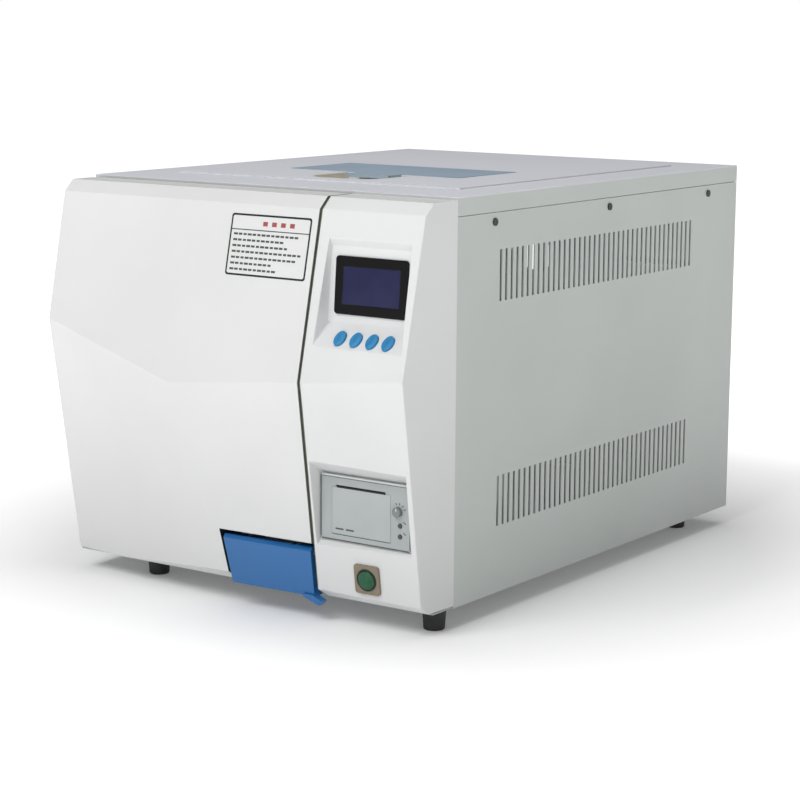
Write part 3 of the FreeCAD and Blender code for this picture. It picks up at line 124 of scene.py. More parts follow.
# %% Moulded plastic
def moulded(name, colour, other, rough, grain_mm=0.9, depth_mm=0.02, coat=0.0, patch_mm=160, gloss=0.5):
    """Spark eroded ABS: satin, with an even fine grain and a slight drift of tone."""
    made, tree, shader, place = begin(name)
    tree.links.new(tinted(tree, place, colour, other, patch_mm), shader.inputs["Base Color"])
    grain = add(tree, "ShaderNodeTexNoise", {"Scale": per(grain_mm), "Detail": 2.0}, Vector=place)
    handled = add(tree, "ShaderNodeTexNoise", {"Scale": per(70), "Detail": 4.0}, Vector=place)
    gloss_drift = add(tree, "ShaderNodeMapRange", {"To Min": rough - 0.05, "To Max": rough + 0.07},
                      Value=handled.outputs["Fac"])
    tree.links.new(gloss_drift.outputs["Result"], shader.inputs["Roughness"])
    bump = add(tree, "ShaderNodeBump", {"Strength": 0.25, "Distance": depth_mm * MM},
               Height=grain.outputs["Fac"])
    tree.links.new(bump.outputs["Normal"], shader.inputs["Normal"])
    shader.inputs["IOR"].default_value = 1.54
    shader.inputs["Specular IOR Level"].default_value = gloss
    shader.inputs["Coat Weight"].default_value = coat
    shader.inputs["Coat Roughness"].default_value = 0.18
    return made


FINISH = {
    # Injection moulded ABS, spark eroded tool: satin whites that spread each highlight softly.
    "cover_white": moulded("abs_satin_white_door", "dadbda", "d6d7d6", 0.40),
    "column_white": moulded("abs_satin_white_column", "dadbdb", "d6d7d7", 0.40),
    # ABS from a smoother tool: the pull shines a little more than the panels.
    "handle_blue": moulded("abs_gloss_blue", "1a66a6", "1862a0", 0.32, coat=0.2, patch_mm=120),
    "lid_blue_grey": moulded("abs_satin_blue_grey", "a3b6c8", "9cafc2", 0.36, patch_mm=90),
    # Matt ABS and natural polypropylene: soft and slightly waxy, with hardly a highlight.
    "cup_cream": moulded("abs_matt_cream", "dbd7c8", "d4d0c0", 0.50, patch_mm=40),
    "tank_plastic": moulded("polypropylene_natural", "dcdfdc", "d2d6d3", 0.48, patch_mm=120),
    # Moulded nylon and an acrylic frame: near black, one dull and one smooth.
    "black_plastic": moulded("nylon_black", "1b1b1c", "161617", 0.45, patch_mm=50),
    "bezel_black": moulded("acrylic_black_frame", "0c0c0d", "0a0a0b", 0.34, depth_mm=0.006,
                           gloss=0.15),
    # Compression moulded silicone rubber: a bright blue with little shine.
    "key_blue": moulded("silicone_rubber_blue", "2f85b8", "2a7db0", 0.42, patch_mm=12, gloss=0.3),
    # Textured ABS in three greys: flat and even, so the printer reads as a separate unit.
    "printer_grey": moulded("abs_matt_grey", "a9b0af", "a2a9a8", 0.50, grain_mm=0.7, patch_mm=60),
    "flap_grey": moulded("abs_matt_light_grey", "adb4b3", "a7aead", 0.46, grain_mm=0.7, patch_mm=50),
    "dark_grey": moulded("abs_matt_charcoal", "4a4c4c", "434545", 0.52, patch_mm=40),
    # Pressed phenolic: brownish, harder looking than the ABS round it.
    "switch_taupe": moulded("phenolic_taupe", "857a66", "7c715e", 0.42, patch_mm=20),
}
print("plastics:", len(FINISH))

# %% [markdown]
# ## Painted and bare metal
# The case is folded steel sheet, powder coated. The powder melts and flows into a faint orange peel,
# about a millimetre or two across. The chamber, trays and door plates are stainless steel, brushed in
# one direction so that highlights stretch. Brackets are zinc coated, with the coating's crystals
# showing as dull patches. The top cover is painted a little paler above its folds, a painted highlight
# for the light that falls from above: its paint blends between two colours over one millimetre just
# under the top.


# %% Powder coat and metals
ROOF = FOOT + 416 * MM  # the top cover's flat, under its raised panel


def powder_coat(name, colour, other, rough, painted_top_light=None):
    """Baked powder on steel: orange peel a couple of millimetres across, and a painted paler top for the light
    from above, if asked.
    """
    made, tree, shader, place = begin(name)
    paint = tinted(tree, place, colour, other, 220)
    if painted_top_light:
        # Painted top light: over the last millimetre below the roof the paint turns to the paler colour.
        height = add(tree, "ShaderNodeSeparateXYZ", Vector=place)
        share = add(tree, "ShaderNodeMapRange", {"From Min": ROOF - 1.5 * MM, "From Max": ROOF - 0.5 * MM},
                    Value=height.outputs["Z"])
        blend = add(tree, "ShaderNodeMix", {"data_type": "RGBA"})
        tree.links.new(share.outputs["Result"], blend.inputs[0])
        tree.links.new(paint, blend.inputs[6])
        blend.inputs[7].default_value = linear(painted_top_light)
        paint = blend.outputs[2]
    tree.links.new(paint, shader.inputs["Base Color"])
    peel = add(tree, "ShaderNodeTexNoise", {"Scale": per(2.2), "Detail": 1.5}, Vector=place)
    bump = add(tree, "ShaderNodeBump", {"Strength": 0.35, "Distance": 0.03 * MM},
               Height=peel.outputs["Fac"])
    tree.links.new(bump.outputs["Normal"], shader.inputs["Normal"])
    wear = add(tree, "ShaderNodeTexNoise", {"Scale": per(90), "Detail": 5.0}, Vector=place)
    gloss_drift = add(tree, "ShaderNodeMapRange", {"To Min": rough - 0.06, "To Max": rough + 0.08},
                      Value=wear.outputs["Fac"])
    tree.links.new(gloss_drift.outputs["Result"], shader.inputs["Roughness"])
    shader.inputs["IOR"].default_value = 1.5
    return made


def brushed(name, colour, other, rough, line_mm=0.5, run_mm=30):
    """Metal brushed along its length: fine lines that stretch the highlight."""
    made, tree, shader, place = begin(name)
    run = add(tree, "ShaderNodeMapping", {"Scale": (per(line_mm), per(run_mm), per(line_mm))}, Vector=place)
    lines = add(tree, "ShaderNodeTexNoise", {"Scale": 1.0, "Detail": 3.0}, Vector=run.outputs["Vector"])
    tree.links.new(tinted(tree, place, colour, other, 45), shader.inputs["Base Color"])
    streaks = add(tree, "ShaderNodeMapRange", {"To Min": rough - 0.08, "To Max": rough + 0.12},
                  Value=lines.outputs["Fac"])
    tree.links.new(streaks.outputs["Result"], shader.inputs["Roughness"])
    bump = add(tree, "ShaderNodeBump", {"Strength": 0.3, "Distance": 0.01 * MM},
               Height=lines.outputs["Fac"])
    tree.links.new(bump.outputs["Normal"], shader.inputs["Normal"])
    shader.inputs["Metallic"].default_value = 1.0
    return made


def zinc(name):
    """Hot dipped zinc: crystals about 12 mm across, each with its own dullness."""
    made, tree, shader, place = begin(name)
    crystals = add(tree, "ShaderNodeTexVoronoi", {"Scale": per(12)}, Vector=place)
    tone = add(tree, "ShaderNodeSeparateColor", Color=crystals.outputs["Color"])
    dullness = add(tree, "ShaderNodeMapRange", {"To Min": 0.44, "To Max": 0.54},
                   Value=tone.outputs["Red"])
    tree.links.new(dullness.outputs["Result"], shader.inputs["Roughness"])
    ramp = add(tree, "ShaderNodeValToRGB", Fac=tone.outputs["Green"])
    ramp.color_ramp.elements[0].color = linear("b3b7b7")
    ramp.color_ramp.elements[1].color = linear("bcbfbf")
    tree.links.new(ramp.outputs["Color"], shader.inputs["Base Color"])
    shader.inputs["Metallic"].default_value = 1.0
    return made


FINISH.update({
    # Powder baked on folded steel: an even satin with a faint orange peel.
    "case_paint": powder_coat("powder_coat_grey_green", "c3c8c5", "bec3c0", 0.50),
    # The roof's paler colour is painted light from above, on the same paint as the sides.
    "roof_paint": powder_coat("powder_coat_painted_top_light", "c3c8c5", "bec3c0", 0.48, painted_top_light="d9dbe1"),
    # Stainless sheet, brushed: highlights stretch along the lines.
    "stainless": brushed("stainless_brushed", "c9c8c4", "bebdb9", 0.30),
    # Steel dipped in zinc: patchy dull crystals.
    "galvanised": zinc("zinc_coated_steel"),
    # Blackened, sheared and turned metals: dark screws, pale edges, warm brass.
    "screw_dark": brushed("steel_blackened", "57574f", "4b4b45", 0.38),
    "aluminium_parts": brushed("aluminium_sheared", "d0d2d3", "c4c6c8", 0.36),
    "brass_parts": brushed("brass_turned", "c9a45a", "b8934b", 0.28),
    # Sprayed enamel on a casting, and foil on a heater: one dark and smooth, one dull and wrinkled.
    "pump_paint": powder_coat("enamel_dark_grey", "4b5156", "454b50", 0.40),
    "heater_foil": brushed("aluminium_foil_faced_heater", "c7c2b4", "b5b0a2", 0.42, line_mm=2, run_mm=12),
})
print("finishes:", len(FINISH))

# %% [markdown]
# ## Rubber, felt, paper and the lit parts
# The feet are black moulded rubber, dull with a trace of dust. The seal is pale silicone. The wrap is
# mineral felt, all fibres. The display is a blue negative liquid crystal behind acrylic. The power
# button is a tinted clear cap whose underside is ribbed; the glints of the ribs are painted into its
# colour as lighter green spots.


# %% Soft and clear finishes
def rubber(name, colour, other, rough):
    """Vulcanised rubber: dull, with a dusty bloom."""
    made, tree, shader, place = begin(name)
    tree.links.new(tinted(tree, place, colour, other, 9, detail=6.0), shader.inputs["Base Color"])
    pores = add(tree, "ShaderNodeTexNoise", {"Scale": per(0.8), "Detail": 3.0}, Vector=place)
    bump = add(tree, "ShaderNodeBump", {"Strength": 0.5, "Distance": 0.05 * MM},
               Height=pores.outputs["Fac"])
    tree.links.new(bump.outputs["Normal"], shader.inputs["Normal"])
    shader.inputs["Roughness"].default_value = rough
    shader.inputs["IOR"].default_value = 1.52
    return made


def felt(name, colour, other, fibre_mm):
    """Pressed fibres: no gloss, a soft sheen at the edges and a tangled surface."""
    made, tree, shader, place = begin(name)
    tree.links.new(tinted(tree, place, colour, other, fibre_mm * 4, detail=8.0),
                   shader.inputs["Base Color"])
    tangle = add(tree, "ShaderNodeTexNoise", {"Scale": per(fibre_mm), "Detail": 8.0, "Distortion": 1.5},
                 Vector=place)
    bump = add(tree, "ShaderNodeBump", {"Strength": 0.6, "Distance": 0.4 * MM},
               Height=tangle.outputs["Fac"])
    tree.links.new(bump.outputs["Normal"], shader.inputs["Normal"])
    shader.inputs["Roughness"].default_value = 0.95
    shader.inputs["Sheen Weight"].default_value = 0.25
    return made


def display(name):
    """A blue negative display, unlit: dark navy with its cells just showing."""
    made, tree, shader, place = begin(name)
    tree.links.new(tinted(tree, place, "26264a", "202044", 30), shader.inputs["Base Color"])
    cells = add(tree, "ShaderNodeTexVoronoi", {"Scale": per(0.9), "distance": "CHEBYCHEV",
                                               "Randomness": 0.0}, Vector=place)
    bump = add(tree, "ShaderNodeBump", {"Strength": 0.05, "Distance": 0.02 * MM},
               Height=cells.outputs["Distance"])
    tree.links.new(bump.outputs["Normal"], shader.inputs["Normal"])
    shader.inputs["Roughness"].default_value = 0.24
    shader.inputs["IOR"].default_value = 1.49
    shader.inputs["Specular IOR Level"].default_value = 0.25
    return made


def lamp_cap(name):
    """Tinted polycarbonate over a lamp: a saturated green, with painted glints of the ribs underneath as lighter
    spots.
    """
    made, tree, shader, place = begin(name)
    painted_rib_glints = add(tree, "ShaderNodeTexVoronoi", {"Scale": per(4.5)}, Vector=place)
    ramp = add(tree, "ShaderNodeValToRGB", Fac=painted_rib_glints.outputs["Distance"])
    ramp.color_ramp.elements[0].color = linear("1c6a42")
    ramp.color_ramp.elements[1].color = linear("124c2e")
    tree.links.new(ramp.outputs["Color"], shader.inputs["Base Color"])
    shader.inputs["Roughness"].default_value = 0.15
    shader.inputs["IOR"].default_value = 1.58
    shader.inputs["Transmission Weight"].default_value = 0.15
    shader.inputs["Specular IOR Level"].default_value = 0.3
    return made


FINISH.update({
    # Vulcanised rubber and cured silicone: no gloss, a trace of dust.
    "black_rubber": rubber("rubber_black_moulded", "242424", "2b2b2a", 0.62),
    "seal_rubber": rubber("silicone_pale", "d4d3ca", "cbcac0", 0.48),
    # Needled mineral wool and coated paper: tangled fibres, coarse and very fine.
    "wrap_fleece": felt("mineral_felt", "d8d2bd", "c9c2ab", 1.2),
    "paper": felt("thermal_paper", "f2f1ea", "eeede5", 0.5),
    # Acrylic over liquid crystal, tinted polycarbonate, glass fibre epoxy: smooth, with clear highlights.
    "screen_glass": display("liquid_crystal_navy"),
    # The green cap's lighter spots are painted glints of its ribs.
    "lamp_green": lamp_cap("polycarbonate_green"),
    "board_green": moulded("epoxy_board_green", "2c6b43", "255f3a", 0.35, patch_mm=14),
})
print("finishes:", len(FINISH))

# %% [markdown]
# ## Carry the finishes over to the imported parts
# The record names a material slot for each part. Every part that stays as it is takes the finish made
# for its slot here, through its object's material slots, and its mesh is left alone.

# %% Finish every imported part
slot_of = {part["node"]: part["material_slot"] for part in frame["record"]["subparts"]}
for name, obj in nodes.items():
    for slot in obj.material_slots:
        slot.material = FINISH[slot_of[name]]
print("slots in use:", len(set(slot_of.values())))

# %% [markdown]
# ## Helpers for shapes
# A moulding never has a knife edge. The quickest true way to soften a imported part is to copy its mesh,
# merge the loose triangles, join the ones that lie flat together, and bevel the edges that stay. An
# edge counts as seen when nothing of the same part stands in front of it.


# %% Piece helpers
def piece(bm, name, body, slot, replaced=(), creased=35, smooth=True, finish=None):
    """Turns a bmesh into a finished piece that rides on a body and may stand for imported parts."""
    mesh = bpy.data.meshes.new(name)
    bm.to_mesh(mesh)
    bm.free()
    obj = bpy.data.objects.new(name, mesh)
    bpy.context.scene.collection.objects.link(obj)
    mesh.materials.append(FINISH[finish or slot])
    if smooth:
        mesh.shade_smooth()
        mesh.set_sharp_from_angle(angle=math.radians(creased))
        even = obj.modifiers.new("even_shading", "WEIGHTED_NORMAL")
        even.keep_sharp = True
        even.weight = 90
    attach(obj, body)
    if replaced:
        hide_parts(*replaced)
    return obj


def merged(node):
    """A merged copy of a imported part's mesh, flat areas joined."""
    bm = bmesh.new()
    bm.from_mesh(nodes[node].data)
    bmesh.ops.remove_doubles(bm, verts=bm.verts, dist=0.002 * MM)
    bmesh.ops.dissolve_limit(bm, angle_limit=math.radians(0.6), verts=bm.verts, edges=bm.edges)
    return bm


def seen_edges(bm, sharper, looking, longer=0.0, where=None):
    """Edges sharper than an angle that nothing hides when looking along a direction."""
    tree = BVHTree.FromBMesh(bm)
    back = -Vector(looking)
    chosen = []
    for edge in bm.edges:
        if len(edge.link_faces) != 2 or edge.calc_length() < longer * MM:
            continue
        if edge.calc_face_angle(0.0) < math.radians(sharper):
            continue
        middle = (edge.verts[0].co + edge.verts[1].co) / 2
        if where and not where(edge.verts[0].co, edge.verts[1].co):
            continue
        start = middle + (edge.link_faces[0].normal + edge.link_faces[1].normal) * 0.4 * MM
        if tree.ray_cast(start, back)[0] is None:
            chosen.append(edge)
    return chosen


def soften(bm, edges, radius, segments=4):
    """Rounds the chosen edges to a radius in millimetres."""
    bmesh.ops.bevel(bm, geom=edges, offset=radius * MM, offset_type="OFFSET", segments=segments,
                    profile=0.5, affect="EDGES", clamp_overlap=True, material=-1)


def plate(width, height, thick, corner, edge, corner_steps=8):
    """A flat plate lying on z = 0 with rounded corners and a rounded front edge, sizes in millimetres."""
    bm = bmesh.new()
    bmesh.ops.create_cube(bm, size=1)
    bmesh.ops.scale(bm, verts=bm.verts, vec=(width * MM, height * MM, thick * MM))
    bmesh.ops.translate(bm, verts=bm.verts, vec=(0, 0, thick * MM / 2))
    if corner:
        upright = [e for e in bm.edges if abs(e.verts[0].co.z - e.verts[1].co.z) > thick * MM / 2]
        soften(bm, upright, corner, corner_steps)
    if edge:
        rim = [e for e in bm.edges if min(v.co.z for v in e.verts) > (thick - 0.001) * MM]
        soften(bm, rim, edge, 3)
    return bm


def surface(node, x, z):
    """A frame on a part's front surface at x, z: right, up and outward axes at the point hit."""
    bm = bmesh.new()
    bm.from_mesh(nodes[node].data)
    hit, normal, _, _ = BVHTree.FromBMesh(bm).ray_cast(Vector((x, -1, z)), Vector((0, 1, 0)))
    bm.free()
    right = Vector((0, 0, 1)).cross(normal).normalized()
    up = normal.cross(right)
    return Matrix.Translation(hit) @ Matrix((right, up, normal)).transposed().to_4x4()


def moved(bm, matrix):
    """Places a shape made about the origin."""
    bmesh.ops.transform(bm, matrix=matrix, verts=bm.verts)
    return bm


print("helpers ready")

# %% [markdown]
# ## Door cover and control column
# Both are moulded shells about 3 mm thick. Their long outer edges are rounded a few millimetres, which
# is what draws the bright line along the column's right edge. The rims at the back stay sharp.

# %% Front shells
FRONT = (0, 1, 0)
rear_limit = CREASE_Y - 4 * MM


def off_rear(a, b):
    """True for edges clear of the rim that meets the cabinet."""
    return max(a.y, b.y) < rear_limit


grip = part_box("door_handle")


def round_grip(a, b):
    """True for edges about the handle's recess."""
    middle = (a + b) / 2
    return middle.x > grip[0][0] - 12 * MM and middle.z < grip[1][2] + 12 * MM


def main_door(a, b):
    """True for the door's own edges, away from the handle's recess."""
    return off_rear(a, b) and not round_grip(a, b)


bm = merged("door_cover")
soften(bm, seen_edges(bm, 12, FRONT, 12, main_door), 2.6, 5)
soften(bm, seen_edges(bm, 40, FRONT, 6, lambda a, b: off_rear(a, b) and round_grip(a, b)), 0.8, 3)
door = piece(bm, "door_cover_moulding", "door", "cover_white", ["door_cover"])

printer_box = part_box("printer_plate")


def near_printer(a, b):
    """True for edges about the printer's recess."""
    middle = (a + b) / 2
    low, high = printer_box
    inside = low[0] - 6 * MM < middle.x < high[0] + 8 * MM
    return inside and low[2] - 12 * MM < middle.z < high[2] + 14 * MM


bm = merged("control_column")
soften(bm, seen_edges(bm, 12, FRONT, 12, lambda a, b: off_rear(a, b) and not near_printer(a, b)), 2.6, 5)
soften(bm, seen_edges(bm, 20, FRONT, 12, lambda a, b: off_rear(a, b) and near_printer(a, b)), 1.6, 4)
column = piece(bm, "control_column_moulding", "cabinet", "column_white", ["control_column"])
print("door faces:", len(door.data.polygons), "column faces:", len(column.data.polygons))

# %% [markdown]
# ## Parts whose edges only need rounding
# Sheet metal bends over a radius about as large as its thickness, and a moulded lid or bezel has its
# edges broken so that it leaves the tool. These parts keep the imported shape: a copy is merged, and the
# edges that can be seen from outside are bevelled. Each line gives the part, its body, its slot, the
# way to look and the radius.


# %% Rounded copies
def rounded(node, body, slot, looking, radius, sharper=30, longer=4.0, where=None, segments=3):
    """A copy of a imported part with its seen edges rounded, standing for the part."""
    bm = merged(node)
    edges = seen_edges(bm, sharper, looking, longer, where)
    soften(bm, edges, radius, segments)
    piece(bm, node + "_rounded", body, slot, [node])
    print(node, "edges rounded:", len(edges))


DOWN = (0, 0, -1)
roof_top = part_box("top_cover")[1][2]


def near_roof(a, b):
    """True for edges at the top, where the hand and the light reach."""
    return min(a.z, b.z) > roof_top - 6 * MM


def at_floor(a, b):
    """True for the edges that stand on the floor."""
    return max(a.z, b.z) < 2 * MM


rounded("top_cover", "cabinet", "roof_paint", DOWN, 1.1, where=near_roof)
rounded("tank_lid", "tank_lid", "lid_blue_grey", DOWN, 0.7, longer=10)
rounded("lid_frame", "cabinet", "column_white", DOWN, 0.5, longer=10)
rounded("finger_cup", "cabinet", "cup_cream", DOWN, 0.6, longer=1)
rounded("feet", "cabinet", "black_rubber", (0, 0, 1), 1.6, longer=0.2, where=at_floor)
for number in (1, 2):
    rounded(f"printer_key_{number}", f"printer_key_{number}", "dark_grey", FRONT, 0.5, longer=0.05)

# %% [markdown]
# ## The door handle
# The blue pull is a thick moulding with soft corners, and a small hooked tip that sticks out past the
# door. The front face carries a rounded border a few millimetres wide that catches the light along the
# top and the sides. Both upper corners and the lower left one are bevelled first, then the rim of the
# front face.

# %% Door handle
handle_low, handle_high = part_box("door_handle")
bm = merged("door_handle")


def front_pad(bm):
    """The handle's large front face."""
    return max((f for f in bm.faces if f.normal.y < -0.8), key=lambda f: f.calc_area())


left, right = handle_low[0] + 9 * MM, handle_high[0] - 13 * MM
top_level, foot_level = handle_high[2] - 5 * MM, FOOT + 4 * MM
hook_start = handle_high[0] - 25 * MM


def at_corner(edge):
    """True for the edges that run from front to back at the handle's upper and lower left corners."""
    a, b = (v.co for v in edge.verts)
    at_left, at_right = max(a.x, b.x) < left, min(a.x, b.x) > right
    high, low = min(a.z, b.z) > top_level, max(a.z, b.z) < foot_level
    return (high and (at_left or at_right)) or (low and at_left)


corners = [e for e in bm.edges if at_corner(e) and e.calc_face_angle(0) > math.radians(25)
           and abs(e.verts[0].co.y - e.verts[1].co.y) > 2 * MM]
soften(bm, corners, 4.0, 6)
pad = front_pad(bm)


def on_hook(edge):
    """True for the low edges that lead into the hooked tip, which stay sharp."""
    a, b = (v.co for v in edge.verts)
    return (a.x + b.x) / 2 > hook_start and min(a.z, b.z) < foot_level


rim = [e for e in pad.edges if e.calc_face_angle(0) > math.radians(25) and not on_hook(e)]
soften(bm, rim, 2.0, 4)
piece(bm, "door_handle_moulding", "handle", "handle_blue", ["door_handle"], creased=50)
print("handle corners:", len(corners), "rim edges:", len(rim))

# %% [markdown]
# ## Painted shade in the long gap
# The door and the column meet along a narrow gap, which lies in shade. A dark strip 7 mm wide on the
# walls of the gap paints that shade. The wall of each imported part is copied and inset, and only its
# border is kept. It is pushed off by a hair and given a thickness, so that the strip follows the
# bends of the front exactly.


# %% Gap shade strips
# Painted shade for the gap: dull and olive grey, so the gap reads as dark without a hard black line.
FINISH["gap_painted_shade"] = moulded("gap_painted_shade_olive_grey", "7f8177", "7a7c72", 0.8, gloss=0.2)
STRIP = 7 * MM
WALL_AREA = 0.006  # square metres: the wall inside the strip is larger, each side of the strip smaller


def shade_strip(node, body, side, edge_x):
    """A dark strip of painted shade round the border of the wall that faces the gap, left open along the cabinet.
    """
    bm = merged(node)
    other = [f for f in bm.faces if f.normal.x * side < 0.95
             or abs(f.calc_center_median().x - edge_x) > 1.2 * MM]
    bmesh.ops.delete(bm, geom=other, context="FACES")
    bmesh.ops.dissolve_limit(bm, angle_limit=math.radians(2), verts=bm.verts, edges=bm.edges)
    bmesh.ops.inset_region(bm, faces=list(bm.faces), thickness=STRIP, use_boundary=True)
    wall_rear = max(v.co.y for v in bm.verts)
    spare = [f for f in bm.faces if f.calc_area() > WALL_AREA
             or min(v.co.y for v in f.verts) > wall_rear - STRIP - 2 * MM]
    bmesh.ops.delete(bm, geom=spare, context="FACES")
    bmesh.ops.translate(bm, verts=bm.verts, vec=(side * 0.12 * MM, 0, 0))
    bmesh.ops.solidify(bm, geom=bm.faces, thickness=0.25 * MM)
    bmesh.ops.recalc_face_normals(bm, faces=bm.faces)
    made = piece(bm, node + "_gap_painted_shade", body, "dark_grey", smooth=False, finish="gap_painted_shade")
    print(node, "lining faces:", len(made.data.polygons))


shade_strip("door_cover", "door", 1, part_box("door_cover")[1][0])
shade_strip("control_column", "cabinet", -1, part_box("control_column")[0][0])

# %% [markdown]
# ## Painted shade in the handle's recess
# The hollow round the handle is in deep shade, which is painted as a near black skin on its walls. The
# walls are picked from a copy of the door by where they lie and the way they face, and the skin is a
# fifth of a millimetre thick. A skin is quicker than a second finish on the door, and leaves the door
# one clean shell.

# %% Recess shade skin
bm = merged("door_cover")
low, high = handle_low, handle_high


def in_recess(face):
    """True for the walls that surround the handle and face it."""
    middle = face.calc_center_median()
    near = low[0] - 8 * MM < middle.x < high[0] and low[2] - 6 * MM < middle.z < high[2] + 8 * MM
    return near and middle.y > low[1] + 1 * MM and face.normal.y > -0.75 and face.normal.z < 0.6


walls = [f for f in bm.faces if in_recess(f)]
bmesh.ops.delete(bm, geom=[f for f in bm.faces if f not in set(walls)], context="FACES")
for vert in bm.verts:
    vert.co += vert.normal * 0.12 * MM
bmesh.ops.solidify(bm, geom=bm.faces, thickness=0.2 * MM)
bmesh.ops.recalc_face_normals(bm, faces=bm.faces)
# Near black skin: painted shade on the recess walls.
recess_shade_piece = piece(bm, "handle_recess_painted_shade", "door", "black_plastic", smooth=False)
print("recess walls lined:", len(recess_shade_piece.data.polygons))

# %% [markdown]
# ## Display and keys
# The bezel is a black frame with rounded corners, pressed into the white panel. The four keys are
# silicone rubber ovals whose tops are slightly domed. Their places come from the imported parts, and the
# panel's own slope gives the way they face.


# %% Display bezel
def facing(node, along):
    """A frame at the middle of a part's box whose third axis points along a direction."""
    low, high = (Vector(c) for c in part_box(node))
    out = Vector(along).normalized()
    right = Vector((0, 0, 1)).cross(out).normalized()
    up = out.cross(right)
    return Matrix.Translation((low + high) / 2) @ Matrix((right, up, out)).transposed().to_4x4()


def framed(node, corner, rim, body, slot):
    """A copy of a thin plate with its outer corners and its front rim rounded."""
    low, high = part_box(node)
    border = surface(node, low[0] + 3 * MM, (low[2] + high[2]) / 2)
    place = facing(node, border.col[2].xyz)
    bm = moved(merged(node), place.inverted())
    wide, tall = ((high[i] - low[i]) / 2 for i in (0, 2))
    upright = [e for e in bm.edges if abs(e.verts[0].co.z - e.verts[1].co.z) > 0.6 * MM
               and all(abs(abs(v.co.x) - wide) < 0.4 * MM and abs(abs(v.co.y) - tall) < 1 * MM
                       for v in e.verts)]
    soften(bm, upright, corner, 7)
    front = max(v.co.z for v in bm.verts)
    edge = [e for e in seen_edges(bm, 30, (0, 0, -1), 0.2)
            if all(abs(v.co.z - front) < 0.01 * MM for v in e.verts)]
    soften(bm, edge, rim, 3)
    print(node, "corners:", len(upright), "rim edges:", len(edge))
    piece(moved(bm, place), node + "_framed", body, slot, [node])


framed("display_bezel", 3.6, 0.6, "cabinet", "bezel_black")

# %% [markdown]
# ## Menu keys
# A soft key has a rolled rim and a crown that rises a little to its middle. Its rim is bevelled, and
# its top face is inset in steps, each raised less than the one before, which gives a shallow dome.


# %% Menu keys
def domed(bm, radius, segments, steps):
    """Rounds the rim of a cap that faces along z, and raises its top in inset steps, in millimetres."""
    top = max(v.co.z for v in bm.verts)
    rim = [e for e in bm.edges if all(v.co.z > top - 0.02 * MM for v in e.verts)
           and e.calc_face_angle(0) > 1]
    soften(bm, rim, radius, segments)
    crown = max(bm.faces, key=lambda f: f.calc_center_median().z)
    for step, rise in steps:
        bmesh.ops.inset_region(bm, faces=[crown], thickness=step * MM)
        bmesh.ops.translate(bm, verts=crown.verts, vec=(0, 0, rise * MM))


joint_of = {joint["name"]: joint for joint in frame["joints"]}
key_in = Vector(joint_of["menu_key_1_press"]["axis"]).normalized()
for number in range(1, 5):
    node = f"menu_key_{number}"
    place = facing(node, -key_in)
    bm = moved(merged(node), place.inverted())
    domed(bm, 1.1, 5, ((1.2, 0.28), (1.4, 0.18), (1.4, 0.08)))
    piece(moved(bm, place), node + "_domed", node, "key_blue", [node], creased=60)
print("keys domed, facing", [round(c, 3) for c in -key_in])

# %% [markdown]
# ## The printer
# A grey plate holds the paper flap, a small knurled dial and two round keys. The paper leaves through a
# slot above the flap. Printed marks round the dial are plain ticks. The two faint lines on the flap are
# moulded ridges, a fraction of a millimetre high.


# %% Printer plate and print
def bar(bm, x, z, width, height, y, thick, turn=0.0):
    """Adds an upright flat bar to a shape: its middle, its size and where its back lies."""
    made = bmesh.ops.create_cube(bm, size=1)["verts"]
    bmesh.ops.scale(bm, verts=made, vec=(width * MM, thick * MM, height * MM))
    bmesh.ops.rotate(bm, verts=made, cent=(0, 0, 0), matrix=Matrix.Rotation(math.radians(turn), 3, "Y"))
    bmesh.ops.translate(bm, verts=made, vec=(x, y - thick * MM / 2, z))


framed("printer_plate", 2.2, 0.5, "cabinet", "printer_grey")
plate_low, plate_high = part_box("printer_plate")
plate_wide, plate_tall = ((plate_high[i] - plate_low[i]) / MM for i in (0, 2))
plate_face = plate_low[1]
flap_low, flap_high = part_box("printer_flap")

bm = bmesh.new()
dial_low, dial_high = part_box("printer_dial")
dial_x, dial_z = (dial_low[0] + dial_high[0]) / 2, (dial_low[2] + dial_high[2]) / 2
for turn in (-20, 10, 40, 70):
    out = math.radians(90 - turn)
    bar(bm, dial_x + 8.2 * MM * math.cos(out), dial_z + 8.2 * MM * math.sin(out), 1.0, 2.2,
        plate_face, 0.08, turn)
for number in (1, 2):
    low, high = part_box(f"printer_key_{number}")
    bar(bm, high[0] + 2.2 * MM, (low[2] + high[2]) / 2 + 3.4 * MM, 3.4, 1.0, plate_face, 0.08, 40)
for i in range(2):
    bar(bm, flap_low[0] + (11 + 13 * i) * MM, flap_low[2] + 6 * MM, 10, 1.7, flap_low[1], 0.05)
ticks = piece(bm, "printer_ticks", "cabinet", "dark_grey", smooth=False)

# %% [markdown]
# ## Paper slot and plate edges
# The slot that the paper leaves by is marked by a dark bar of painted shade. The plate sits in its
# recess with a thin shadow on three sides and a pale ledge along the top, which are narrow bars here:
# at this size a real groove would be thinner than the eye can follow.

# %% Paper slot and plate edges
bm = bmesh.new()
flap_middle = (flap_low[0] + flap_high[0]) / 2
# A dark bar of painted shade stands for the slot.
bar(bm, flap_middle, flap_high[2] + 0.1 * MM, 60, 1.4, plate_face, 0.12)
piece(bm, "paper_slot_painted_shade", "cabinet", "black_plastic", smooth=False)

